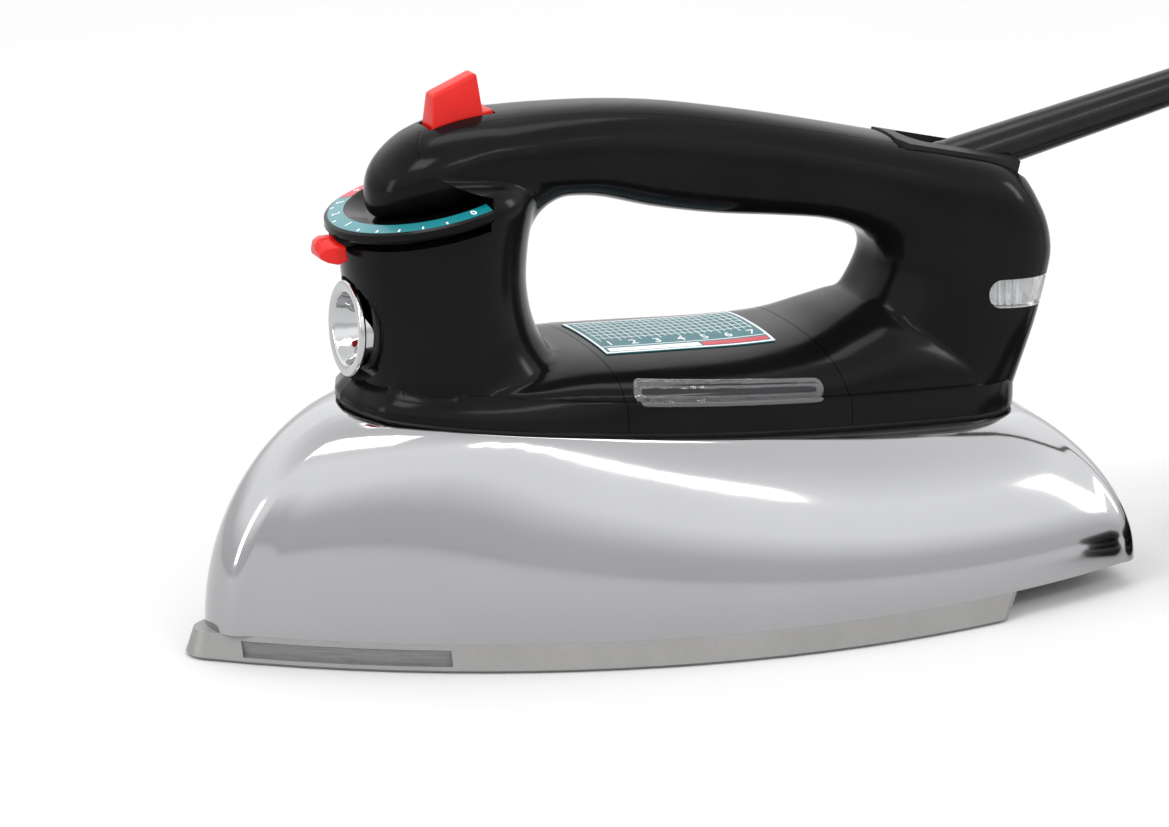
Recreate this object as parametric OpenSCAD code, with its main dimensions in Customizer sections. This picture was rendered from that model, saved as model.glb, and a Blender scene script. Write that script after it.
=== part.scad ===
// Steam iron with a looped handle, a chrome shell and a cord on a swivel sleeve.
// The nose points to -X, the heel to +X, and the soleplate's face lies on Z = 0.

/* [Overall] */
// Length from the soleplate's nose to the shell's tail
length = 250; // [210:1:300]
// Greatest width of the soleplate
width = 120; // [100:1:144]
// Height of the grip's top above the soleplate's face
grip_top = 134; // [124:1:160]

/* [Soleplate and shell] */
// Thickness of the soleplate at its edge
sole_t = 7; // [5.5:0.1:9]
// Length of the soleplate from nose to rear edge
sole_len = 203.6; // [170:0.1:212]
// Rounding of the soleplate's nose
nose_r = 7; // [5:0.5:9]
// Outward lean of the soleplate's rear wall
rear_lean = 4; // [0:0.1:5]
// Lean of the soleplate's side walls
sole_lean = 2; // [0.5:0.1:3]
// Diameter of a steam hole
vent_d = 3.3; // [2:0.1:4]
// Diameter of a steam hole's countersink
vent_sink_d = 6.9; // [5:0.1:8]
// Wall of the chrome shell
shell_t = 1; // [0.8:0.1:1.6]
// Height of the shell's deck at the front of the handle
deck_front = 61.5; // [56:0.5:66]
// Height of the shell's deck at the rear of the handle
deck_rear = 44; // [40:0.5:52]

/* [Handle] */
// Height of the black foot's upright edge
foot_h = 7.7; // [6:0.1:10]
// Half the widest width of the black foot
foot_half_w = 36.3; // [30:0.1:42]
// Half the width of the grip at its middle
grip_half_w = 14; // [12:0.1:17]
// Half the width of the rear column
heel_half_w = 19; // [16:0.5:22]
// Wall of the black mouldings
wall = 3; // [2.4:0.1:3.6]
// Thickness of the seal under the foot
gasket_t = 0.8; // [0.6:0.1:2]

/* [Dial and lever] */
// Radius of the dial's black bezel
dial_r = 27; // [25:0.5:30]
// Tilt of the dial towards the nose
dial_tilt = 10.7; // [6:0.1:14]
// Height of the dial's centre
dial_z = 113.2; // [110:0.1:116]
// Thickness of the bezel
bezel_t = 3.4; // [3:0.1:4]
// Gap below the bezel that the lever's arm runs in
lever_gap = 2.6; // [2.4:0.1:3.2]
// Radius of the lever's hollow spindle
spindle_r = 3.5; // [3.2:0.1:4.5]
// Radius of the steam rod inside the spindle
rod_r = 1.8; // [1.4:0.1:2]

/* [Steam button] */
// Length of the button at its base
button_l = 14.3; // [12:0.1:15]
// Width of the button at its base
button_w = 8.3; // [7:0.1:9]
// Travel of the button
button_travel = 5; // [3:0.5:6]

/* [Water inlet] */
// Radius of the chrome funnel's lip
funnel_r = 12.3; // [11:0.1:13]
// Height of the funnel's axis
funnel_z = 80.6; // [78:0.1:83]
// Radius of the filler tube
tube_r = 4.5; // [3.5:0.1:5]

/* [Cord] */
// Diameter of the cord
cord_d = 7; // [6:0.1:7]
// Radius of the cord sleeve at its root
sleeve_r = 6; // [5.5:0.1:6.3]
// Length of the cord sleeve from its pivot
sleeve_len = 78; // [70:1:78]
// Radius of the sleeve's pivot pin
pivot_r = 1.5; // [1.2:0.1:2]
// Mean radius of the stored coil
coil_r = 38.5; // [36:0.5:42]

/* [Fits] */
// Clearance around a part that slides or turns
slide_gap = 0.3; // [0.25:0.05:0.4]
// Radial clearance of a shaft in its bearing
shaft_gap = 0.06; // [0.03:0.01:0.1]

/* [Hidden] */

tiny = 0.01;
fine = 64;
kx = length / 250;
ky = width / 120;

// ---- curves and lofts ----
function mix(a, b, t) = a + (b - a) * t;
function clamp_i(i, n) = min(max(i, 0), n - 1);
function catmull(a, b, c, d, t) =
    0.5 * (2 * b + (c - a) * t + (2 * a - 5 * b + 4 * c - d) * t * t
    + (3 * b - a - 3 * c + d) * t * t * t);
function curve(p, steps) = let (n = len(p)) concat(
    [for (i = [0:n - 2]) for (s = [0:steps - 1])
        catmull(p[clamp_i(i - 1, n)], p[i], p[i + 1], p[clamp_i(i + 2, n)], s / steps)],
    [p[n - 1]]);
function flat(lists) = [for (l = lists) for (e = l) e];
function power(c, e) = sign(c) * pow(abs(c), e);

// Solid through closed rings of equal point count
function ones(r) = [for (p = r) 1];
function centre(r) = ones(r) * r / len(r);
function area(r) = ones(r) * [for (k = [0:len(r) - 1]) cross(r[k], r[(k + 1) % len(r)])];
module loft(rings) {
    m = len(rings[0]);
    n = len(rings);
    mid = floor((n - 1) / 2);
    turn = area(rings[mid] - [for (p = rings[mid]) centre(rings[mid])])
        * (centre(rings[mid + 1]) - centre(rings[mid])) < 0;
    sides = flat([for (j = [0:n - 2]) flat([for (k = [0:m - 1]) let (q = (k + 1) % m)
        [[j * m + k, j * m + q, (j + 1) * m + q], [j * m + k, (j + 1) * m + q, (j + 1) * m + k]]])]);
    ends = [[for (k = [m - 1:-1:0]) k], [for (k = [0:m - 1]) (n - 1) * m + k]];
    faces = concat(sides, ends);
    polyhedron(flat(rings), turn ? faces : [for (f = faces) [for (i = [len(f) - 1:-1:0]) f[i]]]);
}

// One smooth skin of everything inside it
module skin() { resize([0, 0, 0]) union() children(); }

// Round tube of radius r along points, with m sides
function unit(v) = v / norm(v);
function tangent(p, i) = unit(p[min(i + 1, len(p) - 1)] - p[max(i - 1, 0)]);
function side_of(t) = unit(cross(t, abs(t[2]) < 0.9 ? [0, 0, 1] : [0, 1, 0]));
function carry(t, s) = unit(s - t * (s * t));
function frames(p, i, s) = i == len(p) ? [] :
    let (u = carry(tangent(p, i), s)) concat([u], frames(p, i + 1, u));
module tube(p, r, m = 8) {
    sides = frames(p, 0, side_of(tangent(p, 0)));
    loft([for (i = [0:len(p) - 1]) let (t = tangent(p, i), u = sides[i], v = cross(t, u))
        [for (k = [0:m - 1]) p[i] + r * (cos(360 * k / m) * u + sin(360 * k / m) * v)]]);
}

// ---- plan outline of the soleplate and shell, inset by d ----
half_w = width / 2;
nose_x = -length / 2;
tail_x = length / 2;
sole_rear_x = nose_x + sole_len;
wide_x = nose_x + 157 * kx;
round_x = nose_x + nose_r;
side_r = (pow(wide_x - round_x, 2) + half_w * half_w - nose_r * nose_r) / (2 * (half_w - nose_r));
side_y = side_r - half_w;
function side_w(x, d = 0) = sqrt(max(pow(side_r - d, 2) - pow(x - wide_x, 2), 0)) - side_y;
nose_a = atan2(side_y, wide_x - round_x);
function nose_arc(r, x) = [for (k = [0:5]) let (a = k / 6 * (90 - (90 - nose_a)))
    [x - r * cos(a), r * sin(a)]];
function side_arc(d, x0, x1, n) = [for (k = [0:n - 1]) let (x = mix(x0, x1, k / (n - 1)))
    [x, side_w(x, d)]];
function mirrored(h) = concat(h,
    [for (i = [len(h) - 1:-1:0]) if (h[i][1] > tiny) [h[i][0], -h[i][1]]]);
// Soleplate: rounded nose, two long arcs, straight rear edge with small corners
function tangent_x(d) = round_x - (nose_r - d) * cos(nose_a);
function sole_outline(d, rear, c = 2) = mirrored(concat(nose_arc(nose_r - d, round_x),
    side_arc(d, tangent_x(d), rear - c, 20),
    [[rear - 0.3 * c, side_w(rear - c, d) - 0.3 * c], [rear, side_w(rear - c, d) - c], [rear, 0]]));
// A blunter inset outline for what lies inside the shell
function inner_outline(d, r, front, rear) = let (n = 14)
    mirrored(concat([for (k = [0:n]) let (x = mix(front, rear, k / n),
        w = side_w(x, d), t = min((x - front) / r, 1)) [x, max(w * sqrt(t * (2 - t)), k > 0 ? 1 : 0)]],
        [[rear, 0]]));

// ---- deck plane, foot outline ----
deck_x0 = -87 * kx;
deck_x1 = 101 * kx;
deck_tilt = atan((deck_front - deck_rear) / (deck_x1 - deck_x0));
function deck_z(x) = deck_front + (x - deck_x0) * (deck_rear - deck_front) / (deck_x1 - deck_x0);
module on_deck() { translate([0, 0, deck_z(0)]) rotate([0, deck_tilt, 0]) children(); }
FOOT = [[-83.8, 0], [-82, 9], [-74.8, 20.6], [-52, 30.6], [-22, 35.4], [10, 36.3],
    [43, 32.8], [74, 27.2], [90, 22.8], [99.5, 14], [102.6, 0]];
foot_k = foot_half_w / 36.3;
function foot_outline(d) = let (h = [for (p = curve(FOOT, 4)) [p[0] * kx, p[1] * foot_k]],
    n = len(h)) mirrored([for (i = [0:n - 1])
        let (t = unit(h[min(i + 1, n - 1)] - h[max(i - 1, 0)]), e = i == 0 ? [-1, 0] : i == n - 1 ? [1, 0]
        : [-t[1], t[0]]) [h[i][0] - e[0] * d, max(h[i][1] - e[1] * d, 0)]]);
module foot_slab(d, h0, h1) {
    on_deck() translate([0, 0, h0]) linear_extrude(h1 - h0) polygon(foot_outline(d));
}

// ---- chrome shell ----
skirt_z = sole_t;
skirt_inset = sole_lean;
// The shell's nose stands back from the soleplate's
ledge = 5.7;
rear_r = 500 * kx;
corner_r = 6;
// The deck is a little wider than the foot, but drawn in below its nose
deck_rim = 1.5;
deck_nose = -82 * kx;
nose_pull = 8;
function deck_w(x) = max(foot_w(x < 0 ? min(x + 1, 0) : x) + deck_rim
    - nose_pull * exp((deck_nose - x) / 12), 0.3);
function rear_x(y, d) = tail_x - d - rear_r + sqrt(rear_r * rear_r - y * y);
skirt_corner_x = tail_x - corner_r - 1.2;
skirt_nose_r = nose_r - skirt_inset + 1;
skirt_round_x = nose_x + ledge + skirt_nose_r;
function skirt_base(d) = let (w = side_w(skirt_corner_x, skirt_inset + d), e = skirt_inset + d,
    x0 = skirt_round_x + 2.5)
    concat([for (k = [0:5]) let (a = k * 15) [skirt_round_x - (skirt_nose_r - d) * cos(a),
            side_w(x0, e) * sin(a) * 0.9]],
        side_arc(e, x0, skirt_corner_x, 20),
        [for (k = [1:4]) let (a = 90 - k * 20) [skirt_corner_x + (corner_r - d) * cos(a),
            w - corner_r + corner_r * sin(a)]],
        [for (k = [0:4]) let (y = (w - corner_r) * (1 - k / 4)) [rear_x(y, d), y]]);
function top_of(p, d) = let (x = mix(deck_nose + d, deck_x1 - d, (p[0] - nose_x - ledge)
    / (tail_x - nose_x - ledge)), w = deck_w(x) - d)
    [x, p[1] < tiny ? 0 : p[0] > skirt_corner_x ? w * p[1] / side_w(p[0], skirt_inset) : w];
function skirt_ring(a, d) = [for (p = mirrored(skirt_base(d))) let (q = top_of([p[0], abs(p[1])], d),
    f = 1 - pow(cos(a), 1.35), y = mix(abs(p[1]), q[1], f) * (p[1] < 0 ? -1 : 1))
    [mix(p[0], q[0], f), y, mix(skirt_z, deck_z(mix(p[0], q[0], f)) - d, sin(a))]];
module skirt_solid(d) {
    loft(concat(d > 0 ? [[for (p = skirt_ring(0, d)) [p[0], p[1], skirt_z - 1]]] : [],
        [for (a = [0:9:90]) skirt_ring(a, d)]));
}
module skirt() {
    color("gainsboro") skin() difference() {
        skirt_solid(0);
        skirt_solid(shell_t);
        foot_slab(7, -6, 6);
    }
}

// Polished plate behind the soleplate, with a lip rolled down along its rim
module heel_plate() {
    gap = shell_t + 0.4;
    outline = mirrored([for (p = skirt_base(gap)) if (p[0] > sole_rear_x + 1) p]);
    color("silver") difference() {
        translate([0, 0, skirt_z]) linear_extrude(3) polygon(outline);
        translate([0, 0, skirt_z - 1]) linear_extrude(2.8) offset(delta = -2.5) polygon(outline);
    }
}

// ---- soleplate ----
VENTS_OUTER = [-90.5, -82, -70, -56, -41.5, -26, -10.5];
VENTS_INNER = [-49, -36.5, -23.3, -10, 3.4];
vent_edge = 11.7 * ky;
vent_edge_inner = 30.6 * ky;
function vents() = concat([[-95.7 * kx, 0]],
    [for (s = [-1, 1]) for (x = VENTS_OUTER) [x * kx, s * side_w(x * kx, vent_edge)]],
    [for (s = [-1, 1]) for (x = VENTS_INNER) [x * kx, s * side_w(x * kx, vent_edge_inner)]]);
chamber_front = -104 * kx;
chamber_rear = 22 * kx;
chamber_h = 8;
screw_x = -40 * kx;
screw_y = 14 * ky;
screw_z = 3;
element_edge = 21.5 * ky;
element_r = 3.3;
element_nose = -72 * kx;
element_rear = sole_rear_x - 18.6;
panel_depth = 0.8;
function element_path() = let (h = [for (k = [0:13]) let (t = k / 13,
    x = mix(element_nose, element_rear, t * t * 0.5 + t * 0.5),
    w = side_w(x, element_edge), f = min((x - element_nose) / 22, 1))
        [x, w * sqrt(f * (2 - f)), sole_t + element_r]])
    concat([for (i = [13:-1:1]) [h[i][0], -h[i][1], h[i][2]]], [[element_nose, 0, sole_t + element_r]],
        [for (i = [1:13]) h[i]]);
module chamber_wall(d0, d1, z0, z1) {
    translate([0, 0, z0]) linear_extrude(z1 - z0) difference() {
        polygon(inner_outline(d0, 26, chamber_front - d0 + 5, chamber_rear + 9 - d0));
        polygon(inner_outline(d1, 26, chamber_front - d1 + 8, chamber_rear + 9 - d1));
    }
}
module soleplate() {
    panel_x0 = -114 * kx;
    panel_x1 = -68 * kx;
    lean = [for (z = [0, 0.8, sole_t]) z == 0 ? 0.8 : sole_lean * (z - 0.8) / (sole_t - 0.8)];
    heights = [0, 0.8, sole_t];
    color("lightslategray") difference() {
        union() {
            loft([for (i = [0:2]) [for (p = sole_outline(lean[i], sole_rear_x + [-0.8, 0, rear_lean][i]))
                [p[0], p[1], heights[i]]]]);
            chamber_wall(5.5, 8, sole_t - tiny, sole_t + chamber_h);
        }
        for (v = vents()) {
            translate([v[0], v[1], -1]) cylinder(d = vent_d, h = sole_t + 2, $fn = fine);
            translate([v[0], v[1], -tiny]) cylinder(d1 = vent_sink_d, d2 = vent_d,
                h = 1.6, $fn = fine);
        }
        for (s = [-1, 1]) translate([0, 0, 1.7]) linear_extrude(3.9) polygon(
            concat([for (k = [0:12]) let (x = mix(panel_x0, panel_x1, k / 12))
                    [x, s * (side_w(x, 0.4) + 3)]],
                [for (k = [12:-1:0]) let (x = mix(panel_x0, panel_x1, k / 12))
                    [x, s * side_w(x, 1.1 + panel_depth)]]));
        for (s = [-1, 1]) translate([screw_x, s * screw_y, screw_z])
            cylinder(r = 1.5, h = sole_t, $fn = fine);
        for (s = [-1, 1])
            translate([chamber_rear, s * side_w(chamber_rear, element_edge) - element_r - 1, sole_t])
                cube([6, 2 * element_r + 2, 2 * element_r + 0.6]);
    }
}

// Sheathed element clipped down on the soleplate, its ends turned up at the rear
module heating_element() {
    p = element_path();
    n = len(p);
    color("dimgray") tube(concat([[p[0][0] + 6, p[0][1], p[0][2] + 14], [p[0][0] + 5, p[0][1], p[0][2] + 5]],
        p, [[p[n - 1][0] + 5, p[n - 1][1], p[n - 1][2] + 5],
            [p[n - 1][0] + 6, p[n - 1][1], p[n - 1][2] + 14]]),
        element_r, 8);
}
cover_z = sole_t + chamber_h + 0.8;
module chamber_seal() {
    color("firebrick") chamber_wall(5.7, 7.8, sole_t + chamber_h, cover_z);
}
module steam_chamber_cover() {
    color("lightgray") difference() {
        translate([0, 0, cover_z]) linear_extrude(1.5)
            polygon(inner_outline(5.5, 26, chamber_front, chamber_rear + 3.5));
        for (s = [-1, 1]) translate([screw_x, s * screw_y, cover_z - 1])
            cylinder(r = 1.5, h = 4, $fn = fine);
        axis_at(axis_len(cover_z) + 6) cylinder(r = 2.2, h = 12, $fn = fine);
    }
}

// ---- the dial's axis: local Z runs up through the dial's centre ----
dial_x = -59.2 * kx;
module axis_at(t) {
    translate([dial_x, 0, dial_z]) rotate([0, -dial_tilt, 0]) translate([0, 0, -t]) children();
}
// Distance down the axis to height z, and the axis's X there
function axis_len(z) = (dial_z - z) / cos(dial_tilt);
function axis_x(z) = dial_x + (dial_z - z) * tan(dial_tilt);

rim_t = bezel_t + lever_gap;
disc_t = 1.6;
disc_top = bezel_t + (lever_gap - disc_t) / 2;
hub_end = rim_t + 3.4;
carrier_top = hub_end + slide_gap;
carrier_t = 3;
cam_r = 7;
cam_off = 1.5;
cam_z = cover_z + 20;
cam_t = 4;
cam_top = axis_len(cam_z + cam_t);
valve_top = axis_len(cover_z + 12);

module temperature_lever() {
    inner = dial_r - 1;
    color("red") axis_at(0) difference() {
        skin() {
            loft([for (q = [[-25.4, -3.9, 6.6, -8.6], [-28.4, -3.4, 6.6, -8.9], [-30.4, -3.6, 5.2, -8.2],
                [-31.8, -5.2, 3.4, -7.2]]) [[q[0], -q[2], q[3]], [q[0], -q[2], q[1] - 0.8],
                [q[0], -1.2, q[1]], [q[0], -0.6, q[1] + 0.7], [q[0], 0.6, q[1] + 0.7],
                [q[0], 1.2, q[1]], [q[0], q[2], q[1] - 0.8], [q[0], q[2], q[3]]]]);
        }
        translate([0, 0, -20]) cylinder(r = inner + 0.4, h = 30, $fn = fine);
    }
}
module lever_disc() {
    color("darkred") axis_at(disc_top + disc_t) {
        difference() {
            union() {
                cylinder(r = 17, h = disc_t, $fn = fine);
                intersection() {
                    cylinder(r = dial_r - 0.6, h = disc_t, $fn = fine);
                    translate([-dial_r - 2, -5, 0]) cube([dial_r, 10, disc_t]);
                }
                translate([0, 0, disc_top + disc_t - hub_end]) cylinder(r = 6.5,
                    h = hub_end - disc_top - disc_t, $fn = fine);
            }
            translate([0, 0, -20]) cylinder(r = spindle_r, h = 40, $fn = fine);
        }
    }
}
module dial_spindle() {
    color("goldenrod") axis_at(cam_top + cam_t) difference() {
        cylinder(r = spindle_r, h = cam_top + cam_t - disc_top, $fn = fine);
        translate([0, 0, -1]) cylinder(r = rod_r + slide_gap, h = 200, $fn = fine);
    }
}
module thermostat_cam() {
    color("peru") axis_at(cam_top + cam_t) difference() {
        translate([-cam_off, 0, 0]) cylinder(r = cam_r, h = cam_t, $fn = fine);
        translate([0, 0, -1]) cylinder(r = spindle_r, h = cam_t + 2, $fn = fine);
    }
}
module dial_carrier() {
    color("dimgray") axis_at(carrier_top + carrier_t) difference() {
        cylinder(r = column_bore - 0.2, h = carrier_t, $fn = fine);
        translate([0, 0, -1]) cylinder(r = spindle_r + shaft_gap, h = carrier_t + 2, $fn = fine);
        translate([-column_bore, -4, -1]) cube([8, 8, carrier_t + 2]);
    }
}
slot_x = dial_x + 7.8;
module front_half() { translate([dial_x - 80, -60, 0]) cube([80 + slot_x - dial_x, 120, 200]); }
dome_base_r = 16.4;
module dial_bezel() {
    color("#151515") intersection() {
        axis_at(0) difference() {
            rotate_extrude($fn = 96) polygon([[rod_r + 1, -bezel_t], [dial_r - 1, -bezel_t],
                [dial_r, -bezel_t + 0.9], [dial_r - 0.3, -0.9], [dial_r - 1.3, -0.5],
                [dial_r - 5.4, 0.1], [dial_r - 6, -0.1],
                [dome_base_r, -2.2], [rod_r + 1, -2.2]]);
            rotate_extrude($fn = 96) polygon(scale_section());
        }
        front_half();
    }
}
// Teal band let into the bezel's bevel
function scale_section() = [[dial_r - 1.3, -1.1], [dial_r - 1.3, -0.5], [dial_r - 5.4, 0.1],
    [dial_r - 5.4, -0.5]];
module dial_scale() {
    color("teal") intersection() {
        axis_at(0) rotate_extrude($fn = 96) polygon(scale_section());
        front_half();
    }
}

// ---- handle: one loft over the top and one for the front column ----
function hx(x) = x * kx;
function hz(z) = z > 90 ? z + (z - 90) / 44 * (grip_top - 134) : z;
SECTION_N = 20;
// Rows: inner x, inner z, outer x, outer z, half width, squareness
OVER = [[-75.4, 110.6, -75.4, 117, 2.4, 2], [-73.4, 108.8, -73.6, 121.4, 7.6, 2],
    [-69.8, 108.4, -70, 125.6, 11.6, 2], [-64, 108.8, -64, 129.6, 14.6, 2.1],
    [-56, 110, -56, 132.2, 16.6, 2.2], [-46, 112, -47, 133.6, 17, 2.3],
    [-36.5, 110.8, -37.5, 134, 16.4, 2.3], [-27.5, 110.4, -27, 134, 15.4, 2.3],
    [-15.5, 109.4, -12, 133.4, 14.5, 2.3], [0, 105.2, 4, 131.7, 14, 2.3],
    [17, 101.8, 24, 128, 14, 2.3], [33.5, 99.8, 45, 123.3, 14.6, 2.4],
    [46.5, 98, 65, 118.4, 15.8, 2.5], [55.3, 95.2, 84, 113.8, 17.2, 2.6],
    [61.3, 91.4, 101.4, 108, 18.3, 2.8], [63.4, 87.6, 109.6, 96.8, 19, 3],
    [63.2, 84.6, 112.6, 86.4, 19.4, 3], [61, 79.5, 111.2, 77.6, 20, 3],
    [57, 72.5, 107.9, 66.4, 21, 3], [52.5, 63, 104, 55.6, 21.8, 2.9], [49, 50, 99.4, 43, 22.2, 2.8]];
function over_half_w(r) = r[0] > 50 || r[2] > 60 ? r[4] * mix(1, heel_half_w / 19, 0.8)
    : r[0] > -30 ? r[4] * grip_half_w / 14 : r[4];
function section(r, grow) = let (a = [hx(r[0]), hz(r[1])], b = [hx(r[2]), hz(r[3])],
    u = unit(b - a), h = norm(b - a) / 2 + grow, c = (a + b) / 2, e = 2 / r[5])
    [for (k = [0:SECTION_N - 1]) let (t = 360 * k / SECTION_N,
        p = c + u * h * power(cos(t), e)) [p[0], (over_half_w(r) + grow) * power(sin(t), e), p[1]]];
module over_loft(grow = 0, from = 0) {
    rows = [for (i = [from:len(OVER) - 1]) OVER[i]];
    loft([for (r = curve(rows, 2)) section(r, grow)]);
}
column_k = dial_r / 27;
column_bore = 19.5 * column_k;
// Rows: height, front x and rear x from the dial's centre, half width
COLUMN = [[50, -20.6, 40, 26.6], [62, -20, 39, 26.2], [67, -19.6, 36, 25.4], [72, -19.4, 31, 24.4],
    [80, -20.4, 26.6, 23.9], [90, -21.6, 24.6, 24], [100, -22.6, 25, 24.3], [108, -23.4, 26.6, 24.4],
    [113, -23.8, 28, 24], [117, -22.5, 27, 21.5], [119.4, -18, 23, 16.5]];
function column_ring(r, grow) = let (xf = dial_x + r[1] * column_k - grow,
    xr = dial_x + r[2] * column_k + grow, c = (xf + xr) / 2, h = (xr - xf) / 2,
    e = mix(0.86, 1, min(max((r[0] - 62) / 14, 0), 1)))
    [for (k = [0:23]) let (t = 15 * k)
        [c + h * power(cos(t), e), (r[3] * column_k + grow) * power(sin(t), e), r[0]]];
module column_loft(grow = 0) { loft([for (r = curve(COLUMN, 2)) column_ring(r, grow)]); }

// Mound of the foot: rows of x, crown height above the foot's edge, width share
MOUND = [[-76, 0.4, 0.6], [-66, 1.2, 0.78], [-54, 2, 0.86], [-42, 4.2, 0.89], [-31, 6.6, 0.9],
    [-20, 7.9, 0.92], [0, 9, 0.93], [22, 10.4, 0.93], [40, 13, 0.93], [52, 17.2, 0.93],
    [62, 20, 0.93], [76, 17, 0.92], [90, 8, 0.88], [98, 1, 0.7]];
function foot_w(x) = let (h = curve(FOOT, 4), u = x / kx,
    i = max(concat([0], [for (j = [0:len(h) - 2]) if (h[j][0] <= u) j])),
    t = min(max((u - h[i][0]) / (h[i + 1][0] - h[i][0]), 0), 1)) foot_k * mix(h[i][1], h[i + 1][1], t);
function mound_ring(r, grow) = let (x = hx(r[0]), w = foot_w(x) * r[2] + grow,
    b = deck_z(x) + gasket_t + foot_h - 1, c = r[1] + 1 + grow) concat([for (k = [0:16]) let (t = 11.25 * k)
        [x, w * power(cos(t), 0.85), b + c * power(sin(t), 0.85)]], [[x, -w, b - 7], [x, w, b - 7]]);
module mound_loft(grow = 0) { loft([for (r = curve(MOUND, 2)) mound_ring(r, grow)]); }

// Inset of the foot's top edge: a slope round the nose, upright along the sides
slope_nose = 5.2;
slope_side = 0.5;
foot_upright = 2.4;
function slope_at(x) = mix(slope_nose, slope_side, min(max((x / kx + 84) / 72, 0), 1));
function foot_ring(t, h, grow) = [for (p = foot_outline(-grow)) let (q = slope_at(p[0]) * t,
    w = max(foot_w(p[0]), 1)) [p[0] + (p[0] < 0 ? q * pow(max(1 - abs(p[1]) / 28, 0), 0.7) : -q),
    p[1] * (1 - q / w * min(abs(p[1]) / 10, 1)), h]];
module foot_solid(grow = 0) {
    mound_loft(grow);
    on_deck() loft([foot_ring(0.06, gasket_t - 1, grow), foot_ring(0, gasket_t + 0.5, grow),
        foot_ring(0, gasket_t + foot_upright, grow),
        foot_ring(0.4, gasket_t + mix(foot_upright, foot_h, 0.5), grow),
        foot_ring(0.8, gasket_t + foot_h - 0.6, grow), foot_ring(1, gasket_t + foot_h, grow)]);
}
module below_deck() { on_deck() translate([-200, -80, -60]) cube([400, 160, 60 + gasket_t]); }
// Concave corner between the column's rear and the underside of the grip
crook_r = 11;
crook_x = dial_x + 25 * column_k;
crook_z = hz(110.2);
module crook() {
    rotate([90, 0, 0]) linear_extrude(26, center = true) polygon(concat(
        [[crook_x - 4, crook_z + 3], [crook_x - 4, crook_z - crook_r]],
        [for (k = [0:6]) let (a = 180 - 15 * k) [crook_x + crook_r + crook_r * cos(a),
            crook_z - crook_r + crook_r * sin(a)]], [[crook_x + crook_r, crook_z + 3]]));
}
module handle_skin() {
    over_loft();
    column_loft();
    foot_solid();
    crook();
}
// Side view of the saddle between the columns
saddle_front = hx(-19.5);
module saddle_zone(d = 0) {
    rotate([90, 0, 0]) linear_extrude(200, center = true) polygon([[saddle_front + d, 20],
        [saddle_front + d, 86], [hx(34) - d, 86], [hx(36) - d, 76], [hx(40.2) - d, 68.3],
        [hx(43.7) - d, 58.3], [hx(44.6) - d, 20]]);
}
// Side view of the nose cap: its edge follows the dial, then the spoon-shaped end of the grip
SPOON = [[-50, 116.4], [-56, 118.2], [-62, 121], [-65.4, 125.4], [-62.6, 130], [-55, 132], [-45, 133]];
module cover_zone() {
    front = curve([for (p = SPOON) [hx(p[0]), hz(p[1])]], 3);
    back = slot_x - dial_x + 0.6;
    edge = [[dial_x + back, dial_z - 2.2 + back * tan(dial_tilt)]];
    skin() intersection() {
        union() {
            rotate([90, 0, 0]) linear_extrude(100, center = true) polygon(concat(
                [[dial_x - 60, dial_z - 2.2 - 60 * tan(dial_tilt)]], edge, front,
                [[hx(-45), grip_top + 20], [dial_x - 60, grip_top + 20]]));
            band_zone();
        }
        translate([dial_x - 60, -60, dial_z - 30]) cube([200 * kx, 120, 90]);
    }
}
band_w = 8.2;
band_end = hx(66);
BAND = [[-62, 128], [-47, 129.5], [-27, 130.4], [-12, 129.8], [4, 128.2], [24, 124.4], [45, 119.6],
    [67, 114]];
module band_zone() {
    rotate([90, 0, 0]) linear_extrude(2 * band_w, center = true) polygon(concat(
        curve([for (p = BAND) [hx(p[0]), hz(p[1])]], 3),
        [[band_end, grip_top + 20], [hx(-62), grip_top + 20]]));
}
// The dial's room in the column, ahead of the slot's ends
module dial_pocket() {
    intersection() {
        axis_at(rim_t) cylinder(r = dial_r + 12, h = rim_t + 1.1, $fn = fine);
        front_half();
    }
}

plate_x0 = hx(67);
plate_x1 = hx(67) + 36;
plate_tilt = 13.3;
plate_t = 5.3;
plate_half_w = 10.4;
plate_crown_r = 60;
plate_z = hz(118.4);
module on_plate() { translate([plate_x0, 0, plate_z]) rotate([0, plate_tilt, 0]) children(); }
// Space that the plate takes out of the handle, open upwards
module plate_zone() { on_plate() translate([0, -plate_half_w, -plate_t]) cube([60, 2 * plate_half_w, 60]); }

sleeve_rise = 12.5;
pivot_x = plate_x0 + 17;
pivot_z = plate_z - 17 * tan(plate_tilt) - 6.6;
module at_pivot() { translate([pivot_x, 0, pivot_z]) children(); }
ball_r = 6.2;
heel_in = hx(72);
heel_out = hx(101);
heel_cavity_w = 13.5;
module heel_cavity() {
    skin() hull() {
        translate([heel_in + 4, 0, 40]) cylinder(r = 4, h = hz(92) - 40, $fn = 32);
        for (s = [-1, 1]) {
            translate([heel_out - 6, s * (heel_cavity_w - 4), 40]) cylinder(r = 4, h = hz(94) - 40, $fn = 32);
            translate([heel_in + 6, s * (heel_cavity_w - 4), 40]) cylinder(r = 4, h = hz(86) - 40, $fn = 32);
        }
    }
}
lens_z = 76.8;
lens_h = 7.4;
lens_x0 = hx(88.6);
module lens_zone(d = 0) {
    rotate([90, 0, 0]) linear_extrude(100, center = true) hull() {
        translate([lens_x0 + lens_h / 2, lens_z]) circle(r = lens_h / 2 + d, $fn = 32);
        translate([lens_x0 + 40, lens_z - 4]) square([1, lens_h + 2 * d], center = true);
    }
}
boss_front = hx(-76.4);
module funnel_frame() { translate([boss_front, 0, funnel_z]) rotate([0, -88, 0]) children(); }
boss_r = 11.8;

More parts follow.
